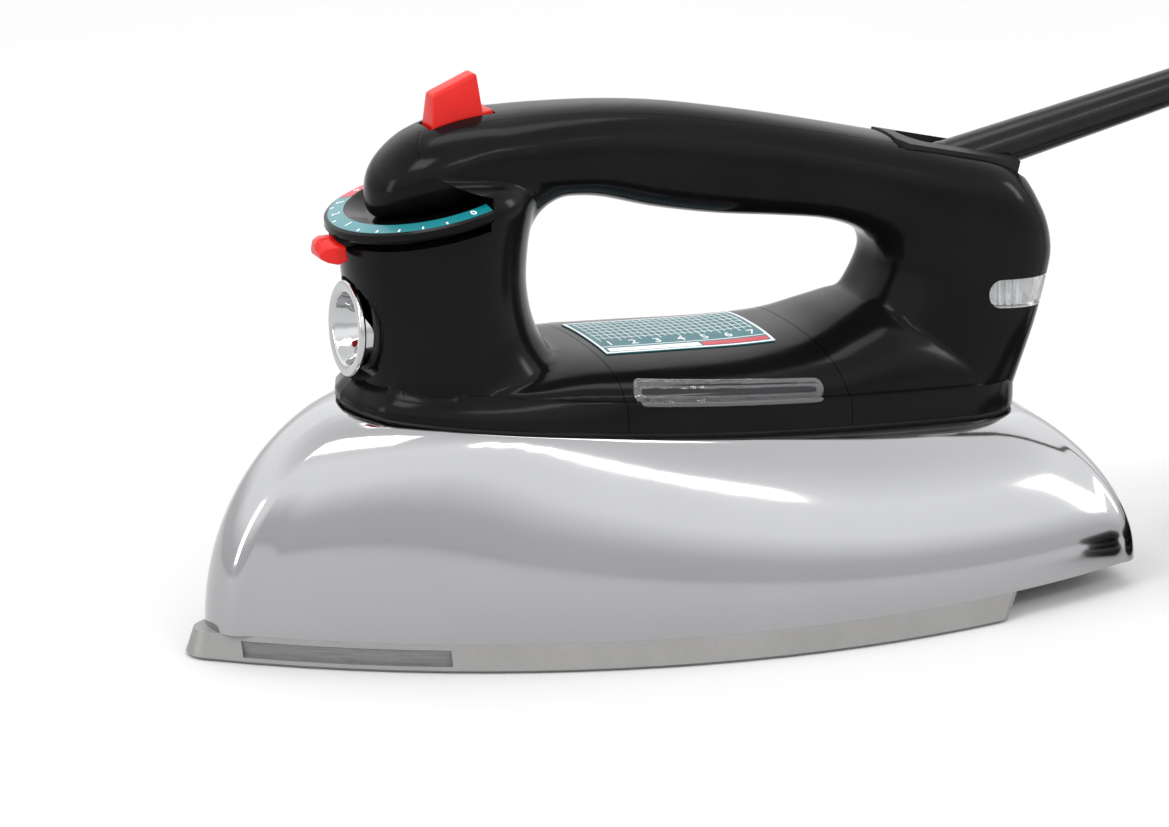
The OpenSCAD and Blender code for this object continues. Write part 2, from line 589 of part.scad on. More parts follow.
module front_cavity() {
    axis_at(60) cylinder(r = column_bore, h = 60 - rim_t + 1, $fn = fine);
    translate([dial_x - 1, 0, 30]) cylinder(r = 18.6 * column_k, h = 71, $fn = fine);
}
module handle_body() {
    color("#101010") difference() {
        skin() difference() {
            union() {
                handle_skin();
                funnel_frame() translate([0, 0, -14]) cylinder(r = boss_r, h = 14, $fn = 48);
            }
            below_deck();
            saddle_zone();
            dial_pocket();
            cover_zone();
            dome_cavity();
            plate_zone();
            heel_cavity();
            lens_zone();
            saddle_cavity();
        }
        intersection() {
            front_cavity();
            translate([dial_x - 40, -40, 30]) cube([80, 80, 90]);
        }
        at_pivot() sphere(r = ball_r + slide_gap, $fn = fine);
        at_pivot() translate([0, 0, -22]) cylinder(r = 4.2, h = 22, $fn = fine);
        at_pivot() rotate([90, 0, 0]) cylinder(r = pivot_r, h = 24, center = true, $fn = fine);
        at_pivot() rotate([0, 90 - sleeve_rise, 0]) cylinder(r = sleeve_r + slide_gap, h = 60, $fn = fine);
        funnel_frame() translate([0, 0, -20]) cylinder(r = 8.6, h = 21, $fn = fine);
        funnel_frame() cylinder(r = funnel_r + 1, h = 20, $fn = fine);
        axis_at(carrier_top + carrier_t)
            cylinder(r = column_bore, h = carrier_top + carrier_t - disc_top + 1, $fn = fine);
        at_button() translate([-20, -button_w / 2 - slide_gap, -12 - button_travel])
            cube([20 + button_l / 2 + 3 + slide_gap, button_w + 2 * slide_gap, 60]);
    }
}
// Room for wires and the tank's neck inside the foot
module saddle_cavity() {
    skin() difference() {
        mound_loft(-wall);
        translate([dial_x - 60, -60, 0]) cube([60 - 10, 120, 200]);
        translate([heel_out - 8, -60, 0]) cube([60, 120, 200]);
    }
    on_deck() translate([0, 0, gasket_t - 1]) linear_extrude(foot_h) polygon(foot_outline(wall + 4));
}
module dome_cavity() {
    skin() intersection() {
        union() {
            translate([dial_x + 3.5, 0, dial_z - 6]) cylinder(r = 12.5, h = 12, $fn = 48);
            translate([dial_x + 3.5, 0, dial_z + 6]) sphere(r = 12.5, $fn = 48);
        }
        translate([dial_x - 12, -20, dial_z - 20]) cube([27, 40, 60]);
    }
}
module handle_cover() {
    color("#161616") skin() difference() {
        intersection() {
            over_loft();
            cover_zone();
        }
        plate_zone();
        intersection() {
            bezel_zone();
            front_half();
        }
        dome_cavity();
        button_hole();
    }
}
module bezel_zone() { axis_at(bezel_t + 8) cylinder(r = 60, h = 8 + bezel_t - 2.2, $fn = fine); }

// ---- steam button and rod ----
button_x = -52.6 * kx;
button_base_z = hz(130.6);
module at_button() { translate([button_x, 0, button_base_z]) rotate([0, -dial_tilt, 0]) children(); }
foot_t = 1.6;
foot_top = 9;
spring_r = 5.2;
spring_wire = 0.4;
spring_turns = 3.5;
module button_hole() {
    at_button() translate([-button_l / 2 - slide_gap, -button_w / 2 - slide_gap, -9])
        cube([button_l + 3 + 2 * slide_gap, button_w + 2 * slide_gap, 30]);
}
module steam_button() {
    l = button_l / 2;
    w = button_w / 2;
    color("red") at_button() skin() {
        loft([for (q = [[0, 0, 0, -8, -8], [0, 0, 0, -1, -1], [2.8, 1, 1.5, 9, 11.4],
            [3.6, 1.7, 2, 9.7, 12]]) [[-l + q[0], -w + q[2], q[3]], [l - q[1], -w + q[2], q[4]],
            [l - q[1], w - q[2], q[4]], [-l + q[0], w - q[2], q[3]]]]);
        translate([l - 0.5, -w + 0.6, -8]) cube([3.4, button_w - 1.2, 10]);
    }
}
// Rod through the spindle, with a foot that reaches back under the button
module steam_rod() {
    color("silver") {
        axis_at(valve_top + 5) cylinder(r = rod_r, h = valve_top + 5 + foot_top - foot_t, $fn = fine);
        intersection() {
            axis_at(-foot_top + foot_t) translate([-6.5, -3.5, 0]) cube([30, 7, foot_t]);
            at_button() translate([-30, -10, -30]) cube([30 + button_l / 2, 20, 22 - tiny]);
        }
    }
}
// Coil spring between the bezel's inner plate and the rod's foot
module valve_spring() {
    h = foot_top - foot_t + bezel_t - 1.2 - 2 * spring_wire - 0.04;
    steps = spring_turns * 10;
    color("lightsteelblue") axis_at(bezel_t - 1.2 - spring_wire - 0.02) tube([for (i = [0:steps])
        [spring_r * cos(36 * i), spring_r * sin(36 * i), h * i / steps]], spring_wire, 6);
}
module drip_valve() {
    color("goldenrod") difference() {
        intersection() {
            axis_at(axis_len(cover_z) + 10)
                cylinder(r = 5, h = axis_len(cover_z) + 10 - valve_top, $fn = fine);
            translate([-300, -20, cover_z + 1.5]) cube([600, 40, 60]);
        }
        axis_at(axis_len(cover_z) + 12) cylinder(r = rod_r + slide_gap, h = 60, $fn = fine);
    }
}

// ---- thermostat beside the valve ----
module thermostat_bracket() {
    color("silver") translate([axis_x(cam_z) - 4, -24, cover_z + 1.5]) {
        cube([12, 6, 2]);
        translate([0, 0, 2]) cube([12, 2, 18]);
    }
}
module bimetal_blade() {
    color("peru") translate([axis_x(cam_z) - 3, -22, cover_z + 5.5]) cube([6, 1, 10]);
}
module contact_blades() {
    color("gold") translate([axis_x(cam_z) - 3, -22, cover_z + 16]) {
        cube([6, 1, 6]);
        translate([1, 1, 4]) cube([4, 22 - cam_r - cam_off - 2.5, 1.6]);
    }
}

// ---- water side ----
tank_x0 = hx(-27);
tank_x1 = hx(58);
tank_z0 = cover_z + 6;
tank_w = 30 * ky;
tank_t = 1.8;
inlet_y = 16;
inlet_z = deck_z(tank_x0) - 14;
window_x0 = hx(-16.6);
window_x1 = hx(36);
neck_w = 20;
neck_h = 6;
module deck_limit(h) { on_deck() translate([-200, -100, -60]) cube([400, 200, 60 + h]); }
module tank_space(d) {
    intersection() {
        translate([tank_x0 + d, -tank_w + d, tank_z0 + d])
            cube([tank_x1 - tank_x0 - 2 * d, 2 * tank_w - 2 * d, 80]);
        deck_limit(-3 - d);
    }
    intersection() {
        translate([window_x0 + d, -neck_w + d, tank_z0 + d])
            cube([window_x1 - window_x0 - 2 * d, 2 * neck_w - 2 * d, 80]);
        deck_limit(gasket_t + neck_h - d);
    }
}
module water_tank() {
    color("aliceblue") difference() {
        tank_space(0);
        tank_space(tank_t);
        translate([tank_x0 - 1, inlet_y, inlet_z]) rotate([0, 90, 0])
            cylinder(r = tube_r - 1.5, h = 4, $fn = fine);
    }
}
FILLER = [[-66, 0, 79.5], [-65.6, 0, 76], [-66.4, 3, 69], [-65, 8, 62], [-58, 13, 53], [-48, 16, 46]];
module filler_tube() {
    p = concat([for (q = FILLER) [dial_x + 59.2 + q[0], q[1], q[2]]],
        [for (gap = [8, 3, tiny]) [tank_x0 - gap, inlet_y, inlet_z]]);
    color("white") tube(curve(p, 2), tube_r - 0.5, 10);
}
module filler_gasket() {
    color("dimgray") funnel_frame() difference() {
        cylinder(r = 10.6, h = 0.8, $fn = fine);
        translate([0, 0, -1]) cylinder(r = 8.5, h = 3, $fn = fine);
    }
}
module filler_funnel() {
    lip = 4.7;
    color("white") funnel_frame() rotate_extrude($fn = 72) polygon([[8.4, -3], [8.4, 0.8], [9.8, 0.8],
        [9.9, lip - 1.2], [funnel_r - 1, lip - 1], [funnel_r, lip - 0.3], [funnel_r, lip + 0.3],
        [funnel_r - 0.8, lip + 0.8], [funnel_r - 2.6, lip + 0.4], [8.6, lip - 1.6], [7.4, lip - 3.4],
        [6, -2], [3.4, -5], [3.4, -6], [5, -6], [7, -3]]);
}

// ---- saddle, label and windows ----
window_z = 62.9;
window_h = 4.8;
module window_zone(s) {
    slope = atan(0.095 / kx);
    intersection() {
        translate([(window_x0 + window_x1) / 2, 0, window_z]) rotate([0, slope, 0]) rotate([90, 0, 0])
            linear_extrude(200, center = true) hull() for (e = [-1, 1])
                translate([e * ((window_x1 - window_x0) / 2 - window_h / 2), 0])
                    circle(r = window_h / 2, $fn = 32);
        translate([-100, s > 0 ? 20 : -120, 0]) cube([260, 100, 100]);
    }
}
module saddle_cover() {
    color("#141414") skin() difference() {
        intersection() {
            foot_solid();
            saddle_zone(0.15);
        }
        below_deck();
        saddle_cavity();
        for (s = [-1, 1]) window_zone(s);
    }
}
module water_window(s) {
    color("lightcyan") skin() difference() {
        intersection() {
            mound_loft(0.3);
            window_zone(s);
        }
        mound_loft(-wall + 0.4);
    }
}
module water_window_left() { water_window(-1); }
module water_window_right() { water_window(1); }
module fabric_label() {
    color("teal") skin() difference() {
        intersection() {
            mound_loft(0.3);
            translate([hx(-17), -15, 60]) cube([hx(30) - hx(-17), 30, 40]);
        }
        mound_loft(0.02);
    }
}

// ---- heel fittings ----
module pilot_lens() {
    color("whitesmoke") skin() difference() {
        intersection() {
            over_loft();
            lens_zone();
        }
        heel_cavity();
    }
}
module pilot_lamp() {
    color("orange") translate([hx(92), 0, lens_z]) rotate([90, 0, 0])
        cylinder(r = 2.5, h = 14, center = true, $fn = fine);
}
plate_len = plate_x1 - plate_x0;
module cord_plate() {
    e = plate_half_w - 0.1;
    color("#1c1c1c") difference() {
        on_plate() intersection() {
            translate([0, 0, -plate_t]) linear_extrude(plate_t) polygon([[0.2, -e + 3], [3, -e],
                [plate_len, -e], [plate_len, e], [3, e], [0.2, e - 3]]);
            translate([-5, 0, -plate_crown_r]) rotate([0, 90, 0])
                cylinder(r = plate_crown_r, h = 60, $fn = 128);
        }
        on_plate() translate([0, 0, -20]) linear_extrude(40) union() {
            translate([10.5, 0]) circle(r = sleeve_r + slide_gap, $fn = fine);
            translate([10.5, -sleeve_r - slide_gap]) square([60, 2 * (sleeve_r + slide_gap)]);
        }
        at_pivot() sphere(r = ball_r + slide_gap, $fn = fine);
        at_pivot() rotate([90, 0, 0]) cylinder(r = pivot_r, h = 40, center = true, $fn = fine);
    }
}
module cord_pivot() {
    color("silver") at_pivot() rotate([90, 0, 0])
        cylinder(r = pivot_r, h = 2 * plate_half_w - 2, center = true, $fn = fine);
}
sleeve_tip_r = 4.7;
module cord_sleeve() {
    color("#1a1a1a") at_pivot() difference() {
        union() {
            sphere(r = ball_r, $fn = fine);
            rotate([0, 90 - sleeve_rise, 0])
                cylinder(r1 = sleeve_r, r2 = sleeve_tip_r, h = sleeve_len, $fn = fine);
        }
        rotate([90, 0, 0]) cylinder(r = pivot_r + shaft_gap, h = 40, center = true, $fn = fine);
    }
}
module cord_clamp() {
    color("ivory") translate([hx(84), -8, 84]) cube([8, 16, 4]);
}
module terminal_block() {
    color("ivory") difference() {
        translate([hx(76), -9, 58]) cube([14, 18, 8]);
        for (y = [-5, 0, 5]) translate([hx(76) + 7, y, 57]) cylinder(r = 1.2, h = 12, $fn = fine);
    }
}
module supply_leads() {
    color("saddlebrown") for (s = [-1, 1]) tube(curve([[hx(82), 5 * s, 57.9], [hx(82), 5 * s, 52],
        [hx(78), 8 * s, 42], [hx(72), 20 * s, 34], [element_rear + 9, 33 * s, 31],
        [element_rear + 6, side_w(element_rear, element_edge) * s, sole_t + element_r + 15]], 2), 1.2, 6);
}
module thermal_fuse() {
    color("lightgray") translate([sole_rear_x - 33.6, 0, sole_t + 2.5]) rotate([90, 0, 0])
        cylinder(r = 2.5, h = 12, center = true, $fn = fine);
}
module ground_strap() {
    strap_x = sole_rear_x - 12.6;
    color("yellowgreen") tube(curve([[hx(82), 0, 57.9], [hx(82), 0, 50], [hx(76), 0, 40],
        [strap_x + 4, 4, 25], [strap_x, 10, 14], [strap_x, 12, sole_t + tiny]], 2), 1, 6);
}
module cover_screws() {
    color("silver") for (s = [-1, 1]) translate([screw_x, s * screw_y, screw_z]) {
        cylinder(r = 1.5, h = cover_z + 1.5 - screw_z, $fn = fine);
        translate([0, 0, cover_z + 1.5 - screw_z]) cylinder(r = 3, h = 1.8, $fn = fine);
    }
}
module foot_gasket() {
    color("black") difference() {
        foot_slab(1, 0.02, gasket_t - 0.02);
        foot_slab(7, -5, 5);
    }
}

// ---- cord, coil, tie and plug ----
cord_r = cord_d / 2;
tip_x = pivot_x + sleeve_len * cos(sleeve_rise);
tip_z = pivot_z + sleeve_len * sin(sleeve_rise);
// Route of the cord: X from the sleeve's tip, Y, height
CORD = [[0, 0, 125], [4, 0, 125.9], [10, 0, 126.5], [17, 0, 125.5], [24, 0, 122.9], [32, 0, 118.4],
    [40, 0, 110.8],
    [48, -0.7, 98], [56, -3, 84], [63, -6, 70], [69.5, -11, 56], [75, -16.5, 42.5], [79.5, -23, 30],
    [83, -30.5, 22.6], [85, -38, 18.4], [85.5, -46, 16.4], [85, -50, 15.8]];
// Route of the plug's lead, from the coil to the plug
LEAD = [[-2.8, -30, 3.5], [0.6, -20.5, 3.5], [4, -11, 3.5], [7.5, -1.5, 3.5], [13.5, 9, 3.5],
    [23, 16.6, 4.5], [30, 20, 7], [37, 21.3, 11.4], [41.9, 21.3, 12]];
coil_x = tip_x + 40;
coil_y = -45.5;
coil_half = 1.55 * cord_d;
coil_h = 2.73 * cord_d;
cord_gap = 0.3;
function laid(route) = [for (q = route) [tip_x + q[0], q[1], q[2] * cord_d / 7]];
module cord() {
    p = [for (q = CORD) [tip_x + q[0] + cord_gap, q[1],
        tip_z + (q[2] - 125) * (tip_z - coil_h) / (125 - 19.1)]];
    color("#1c1c1c") tube(p, cord_r, 8);
}
module cord_coil() {
    color("#1c1c1c") translate([coil_x, coil_y, 0]) rotate_extrude($fn = 64)
        translate([coil_r, 0]) polygon([[-coil_half, 2], [-coil_half + 2, 0], [coil_half - 2, 0],
            [coil_half, 2], [coil_half, coil_h - 3], [coil_half - 3, coil_h], [-coil_half + 3, coil_h],
            [-coil_half, coil_h - 3]]);
}
module plug_lead() { color("#1c1c1c") tube(laid(LEAD), cord_r, 8); }

tie_w = 10;
tie_t = 1;
tie_in = coil_half + 0.6;
module coil_tie() {
    color("dimgray") translate([coil_x, coil_y, 0]) rotate(-60) translate([coil_r, 0, 0]) difference() {
        translate([-tie_in - tie_t, -tie_w / 2, 0.1])
            cube([2 * (tie_in + tie_t), tie_w, coil_h + 0.3 + tie_t - 0.1]);
        translate([-tie_in, -tie_w, -1]) cube([2 * tie_in, 2 * tie_w, coil_h + 1.3]);
    }
}
plug_x = tip_x + 42;
plug_y = 21.3;
plug_z = 12 * cord_d / 7;
plug_l = 33;
plug_half_w = 13;
module plug_body() {
    h = plug_z;
    color("#202020") difference() {
        translate([plug_x, plug_y, plug_z]) skin() {
            loft([for (q = [[0, 4.6, 4.6], [9, 5.2, 5.2], [12, 9.5, 9], [20, 12.4, 11.4],
                [30, plug_half_w, h],
                [plug_l, plug_half_w - 0.6, h - 0.6]]) [for (k = [0:15]) let (a = 22.5 * k)
                    [q[0], q[1] * power(cos(a), 0.6), q[2] * power(sin(a), 0.6)]]]);
        }
        blades();
    }
}
blade_in = 8;
blade_gap = 6.35;
module blades() {
    for (s = [-1, 1]) translate([plug_x + plug_l - blade_in, plug_y + s * blade_gap - 0.75, plug_z - 0.2])
        cube([blade_in + 17.5, 1.5, 6.4]);
    translate([plug_x + plug_l - blade_in, plug_y, plug_z - 6]) rotate([0, 90, 0])
        cylinder(r = 2.4, h = blade_in + 19, $fn = fine);
}
module plug_pins() { color("gold") blades(); }

soleplate();
heating_element();
chamber_seal();
steam_chamber_cover();
thermostat_bracket();
bimetal_blade();
contact_blades();
thermostat_cam();
dial_spindle();
lever_disc();
temperature_lever();
dial_carrier();
dial_bezel();
dial_scale();
skirt();
heel_plate();
foot_gasket();
water_tank();
drip_valve();
steam_rod();
valve_spring();
steam_button();
handle_body();
handle_cover();
saddle_cover();
fabric_label();
water_window_left();
water_window_right();
filler_funnel();
filler_tube();
filler_gasket();
pilot_lens();
pilot_lamp();
cord_plate();
cord_pivot();
cord_sleeve();
cord_clamp();
terminal_block();
supply_leads();
thermal_fuse();
ground_strap();
cover_screws();
cord();
cord_coil();
coil_tie();
plug_lead();
plug_body();
plug_pins();
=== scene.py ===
import math

import bpy
import numpy as np
from mathutils import Matrix, Vector


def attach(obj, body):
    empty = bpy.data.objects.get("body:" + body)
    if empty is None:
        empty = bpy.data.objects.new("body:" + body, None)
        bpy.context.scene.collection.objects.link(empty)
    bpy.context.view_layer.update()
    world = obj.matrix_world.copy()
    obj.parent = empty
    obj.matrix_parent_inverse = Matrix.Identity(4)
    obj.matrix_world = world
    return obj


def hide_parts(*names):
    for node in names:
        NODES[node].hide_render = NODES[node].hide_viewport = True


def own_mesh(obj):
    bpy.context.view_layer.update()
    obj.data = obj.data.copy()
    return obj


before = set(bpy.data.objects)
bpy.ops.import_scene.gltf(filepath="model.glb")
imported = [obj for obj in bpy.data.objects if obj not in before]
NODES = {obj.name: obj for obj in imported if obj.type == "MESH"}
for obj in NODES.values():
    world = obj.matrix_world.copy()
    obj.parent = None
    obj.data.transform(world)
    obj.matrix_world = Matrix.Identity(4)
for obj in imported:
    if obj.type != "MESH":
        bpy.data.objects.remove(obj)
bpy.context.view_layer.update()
MM = 0.001


# ---- materials: one recipe, tuned per surface ----
def coords(nt, stretch, turn=0.0):
    tex = nt.nodes.new("ShaderNodeTexCoord")
    mp = nt.nodes.new("ShaderNodeMapping")
    mp.inputs["Scale"].default_value = stretch
    mp.inputs["Rotation"].default_value = (0, 0, turn)
    nt.links.new(tex.outputs["Object"], mp.inputs["Vector"])
    return mp.outputs["Vector"]


def noise(nt, vec, scale, detail=4.0, rough=0.55):
    n = nt.nodes.new("ShaderNodeTexNoise")
    n.inputs["Scale"].default_value = scale
    n.inputs["Detail"].default_value = detail
    n.inputs["Roughness"].default_value = rough
    nt.links.new(vec, n.inputs["Vector"])
    return n.outputs["Fac"]


def ramp(nt, fac, stops):
    r = nt.nodes.new("ShaderNodeValToRGB")
    while len(r.color_ramp.elements) < len(stops):
        r.color_ramp.elements.new(0.5)
    for e, (p, c) in zip(r.color_ramp.elements, stops):
        e.position = p
        e.color = (*c, 1)
    nt.links.new(fac, r.inputs["Fac"])
    return r.outputs["Color"]


def spread(nt, fac, low, high):
    m = nt.nodes.new("ShaderNodeMapRange")
    m.inputs["From Min"].default_value = 0.3
    m.inputs["From Max"].default_value = 0.7
    m.inputs["To Min"].default_value = low
    m.inputs["To Max"].default_value = high
    nt.links.new(fac, m.inputs["Value"])
    return m.outputs["Result"]


def shade(c, k):
    return tuple(min(max(v * k, 0), 1) for v in c)


def new_material(name):
    m = bpy.data.materials.new(name)
    m.use_nodes = True
    return m, m.node_tree, m.node_tree.nodes["Principled BSDF"]


def material(name, color, rough, metallic=0.0, vary=0.1, scale=90, spread_rough=0.05, bump=0.05,
             bump_scale=900, stretch=(1, 1, 1), coat=0.0, clear=0.0, ior=1.45, glow=None, specks=0.0, gloss=0.5):
    m, nt, b = new_material(name)
    vec = coords(nt, stretch)
    tint = noise(nt, vec, scale)
    col = ramp(nt, tint, [(0.3, shade(color, 1 - vary)), (0.7, shade(color, 1 + vary))])
    if specks:
        dots = noise(nt, vec, 5200, 2, 0.7)
        dark = ramp(nt, dots, [(0.42, shade((1, 1, 1), 1 - specks)), (0.56, (1, 1, 1))])
        mix = nt.nodes.new("ShaderNodeMix")
        mix.data_type = "RGBA"
        mix.blend_type = "MULTIPLY"
        mix.inputs["Factor"].default_value = 1.0
        nt.links.new(col, mix.inputs["A"])
        nt.links.new(dark, mix.inputs["B"])
        col = mix.outputs["Result"]
    nt.links.new(col, b.inputs["Base Color"])
    nt.links.new(spread(nt, noise(nt, vec, scale * 1.7, 5), max(rough - spread_rough, 0.01),
                        rough + spread_rough), b.inputs["Roughness"])
    b.inputs["Metallic"].default_value = metallic
    b.inputs["Specular IOR Level"].default_value = gloss
    b.inputs["Coat Weight"].default_value = coat
    b.inputs["Coat Roughness"].default_value = 0.04
    b.inputs["Transmission Weight"].default_value = clear
    b.inputs["IOR"].default_value = ior
    if glow:
        b.inputs["Emission Color"].default_value = (*glow, 1)
        b.inputs["Emission Strength"].default_value = 0.4
    bp = nt.nodes.new("ShaderNodeBump")
    bp.inputs["Strength"].default_value = bump
    bp.inputs["Distance"].default_value = 0.0003
    nt.links.new(noise(nt, vec, bump_scale, 6, 0.6), bp.inputs["Height"])
    nt.links.new(bp.outputs["Normal"], b.inputs["Normal"])
    return m


MAT = {
    "chrome": material("Chrome", (0.38, 0.383, 0.39), 0.09, 1.0, 0.02, 25, 0.015, 0.012, 500),
    "funnel": material("FunnelChrome", (0.46, 0.465, 0.47), 0.06, 1.0, 0.02, 60, 0.02, 0.01, 700),
    "black": material("BlackPlastic", (0.004, 0.004, 0.0045), 0.16, 0, 0.25, 40, 0.03, 0.03, 1600, gloss=0.1),
    "black_matt": material("BlackMatt", (0.012, 0.012, 0.013), 0.4, 0, 0.2, 60, 0.05, 0.12, 2600, gloss=0.15),
    "bezel": material("BezelBlack", (0.003, 0.003, 0.0035), 0.12, 0, 0.2, 60, 0.03, 0.03, 1500, gloss=0.12),
    "red": material("RedPlastic", (0.5, 0.006, 0.003), 0.34, 0, 0.08, 70, 0.05, 0.06, 1500, coat=0.05, gloss=0.3),
    "sole": material("SoleFace", (0.40, 0.43, 0.46), 0.42, 0.55, 0.06, 45, 0.05, 0.25, 3800, specks=0.25),
    "sole_side": material("SoleSide", (0.235, 0.232, 0.228), 0.42, 0.5, 0.05, 60, 0.05, 0.2, 3000, specks=0.12),
    "grooved": material("GroovedPanel", (0.20, 0.20, 0.20), 0.5, 0.4, 0.15, 200, 0.06, 0.5, 900,
                        stretch=(0.2, 1, 9), specks=0.3),
    "steel": material("Steel", (0.6, 0.61, 0.62), 0.3, 1.0, 0.06, 120, 0.06, 0.1, 1400, stretch=(1, 1, 6)),
    "wire": material("SpringWire", (0.62, 0.64, 0.67), 0.28, 1.0, 0.05, 300, 0.05, 0.1, 2500),
    "tinted": material("HeatedSheath", (0.34, 0.29, 0.25), 0.4, 1.0, 0.3, 60, 0.08, 0.2, 1200),
    "aluminium": material("RolledAluminium", (0.72, 0.73, 0.74), 0.34, 1.0, 0.05, 80, 0.05, 0.12, 900,
                          stretch=(8, 1, 1)),
    "silicone": material("RedSilicone", (0.3, 0.05, 0.03), 0.6, 0, 0.12, 80, 0.05, 0.15, 1500),
    "copper": material("CopperAlloy", (0.72, 0.4, 0.22), 0.3, 1.0, 0.15, 100, 0.06, 0.1, 1500),
    "brass": material("Brass", (0.76, 0.56, 0.26), 0.24, 1.0, 0.08, 120, 0.05, 0.1, 1600, stretch=(1, 1, 5)),
    "nylon": material("WhiteNylon", (0.74, 0.73, 0.67), 0.45, 0, 0.06, 90, 0.05, 0.1, 1600),
    "tank": material("TankPlastic", (0.8, 0.83, 0.82), 0.35, 0, 0.05, 40, 0.05, 0.08, 900, clear=0.25),
    "rubber": material("CordJacket", (0.008, 0.008, 0.009), 0.36, 0, 0.25, 120, 0.06, 0.15, 2200, gloss=0.25),
    "sleeve": material("SleeveRubber", (0.005, 0.005, 0.006), 0.24, 0, 0.25, 90, 0.05, 0.08, 1800, gloss=0.25),
    "plug": material("PlugRubber", (0.013, 0.013, 0.014), 0.38, 0, 0.25, 90, 0.06, 0.3, 2600),
    "tie": material("TieStrap", (0.02, 0.02, 0.024), 0.7, 0, 0.3, 300, 0.06, 0.8, 2600, stretch=(1, 1, 3)),
    "seal": material("SealRubber", (0.012, 0.012, 0.012), 0.6, 0, 0.25, 120, 0.06, 0.2, 1800),
    "brown": material("LeadInsulation", (0.22, 0.09, 0.04), 0.5, 0, 0.15, 150, 0.06, 0.2, 1600),
    "green": material("EarthInsulation", (0.2, 0.36, 0.05), 0.5, 0, 0.15, 150, 0.06, 0.2, 1600),
    "amber": material("LampAmber", (0.9, 0.42, 0.1), 0.2, 0, 0.12, 120, 0.05, 0.05, 1200, glow=(0.9, 0.4, 0.1)),
    "clear": material("ClearPlastic", (0.9, 0.92, 0.93), 0.06, 0, 0.02, 60, 0.02, 0.02, 1200, clear=0.93),
    "smoked": material("WindowPlastic", (0.012, 0.012, 0.014), 0.1, 0, 0.05, 60, 0.03, 0.02, 1200, gloss=0.35),
    "milky": material("MilkyPlastic", (0.84, 0.85, 0.86), 0.3, 0, 0.05, 90, 0.05, 0.1, 1400),
    "ink": material("WhiteInk", (0.85, 0.88, 0.88), 0.45, 0, 0.04, 200, 0.05, 0.08, 3000),
    "red_ink": material("RedInk", (0.55, 0.05, 0.07), 0.45, 0, 0.06, 200, 0.05, 0.08, 3000),
    "teal": material("TealScale", (0.0, 0.145, 0.17), 0.34, 0, 0.08, 90, 0.05, 0.06, 2600, coat=0.3),
    "teal_cloth": material("TealLabel", (0.002, 0.13, 0.155), 0.4, 0, 0.1, 150, 0.05, 0.25, 3600),
}
USES = {
    "chrome": ["skirt", "heel_plate"], "funnel": ["filler_funnel"],
    "black": ["handle_body", "handle_cover", "saddle_cover"], "black_matt": ["dial_carrier", "cord_plate", "lever_disc"],
    "bezel": ["dial_bezel"], "red": ["temperature_lever", "steam_button"], "sole": ["soleplate"],
    "steel": ["thermostat_bracket", "steam_rod", "cord_pivot", "cover_screws", "thermal_fuse"],
    "wire": ["valve_spring"], "tinted": ["heating_element"], "aluminium": ["steam_chamber_cover"],
    "silicone": ["chamber_seal"], "copper": ["bimetal_blade", "contact_blades"],
    "brass": ["thermostat_cam", "dial_spindle", "drip_valve", "plug_pins"],
    "nylon": ["cord_clamp", "terminal_block"], "tank": ["water_tank", "filler_tube"],
    "rubber": ["cord", "cord_coil", "plug_lead"], "sleeve": ["cord_sleeve"], "plug": ["plug_body"],
    "tie": ["coil_tie"], "seal": ["foot_gasket", "filler_gasket"], "brown": ["supply_leads"],
    "green": ["ground_strap"], "amber": ["pilot_lamp"], "clear": ["pilot_lens"],
    "smoked": ["water_window_left", "water_window_right"], "teal": ["dial_scale"],
    "teal_cloth": ["fabric_label"],
}
for key, names in USES.items():
    for n in names:
        NODES[n].data.materials.clear()
        NODES[n].data.materials.append(MAT[key])


# ---- mesh helpers; sizes in millimetres ----
def mesh(name, verts, faces, mat=None):
    me = bpy.data.meshes.new(name)
    me.from_pydata([tuple(c * MM for c in v) for v in verts], [], faces)
    me.validate()
    me.update()
    o = bpy.data.objects.new(name, me)
    bpy.context.scene.collection.objects.link(o)
    if mat:
        me.materials.append(MAT[mat])
    return o


def outward(o):
    bm_turn(o.data)
    return o


def bm_turn(me):
    import bmesh
    bm = bmesh.new()
    bm.from_mesh(me)
    bmesh.ops.recalc_face_normals(bm, faces=bm.faces)
    bm.to_mesh(me)
    bm.free()


def loft(name, rings, mat=None, caps=True):
    m, n = len(rings[0]), len(rings)
    verts = [p for r in rings for p in r]
    faces = [(j * m + k, j * m + (k + 1) % m, (j + 1) * m + (k + 1) % m, (j + 1) * m + k)
             for j in range(n - 1) for k in range(m)]
    if caps:
        faces += [tuple(range(m - 1, -1, -1)), tuple((n - 1) * m + k for k in range(m))]
    return outward(mesh(name, verts, faces, mat))


def smooth(o, angle=35):
    o.data.shade_smooth()
    if angle < 180:
        o.data.set_sharp_from_angle(angle=math.radians(angle))
    return o


def prism(name, outline, lo, hi, axis="y", mat=None):
    """Closed prism of an outline along one axis."""
    put = {"y": lambda p, h: (p[0], h, p[1]), "z": lambda p, h: (p[0], p[1], h),
           "x": lambda p, h: (h, p[0], p[1])}[axis]
    return loft(name, [[put(p, lo) for p in outline], [put(p, hi) for p in outline]], mat)


def turned(name, profile, steps=96, mat=None):
    """Solid of revolution about Z; profile is a closed (r, z) outline."""
    rings = [[(r * math.cos(2 * math.pi * i / steps), r * math.sin(2 * math.pi * i / steps), z)
              for r, z in profile] for i in range(steps)]
    m = len(profile)
    verts = [p for r in rings for p in r]
    faces = [(i * m + k, i * m + (k + 1) % m, ((i + 1) % steps) * m + (k + 1) % m, ((i + 1) % steps) * m + k)
             for i in range(steps) for k in range(m)]
    return outward(mesh(name, verts, faces, mat))


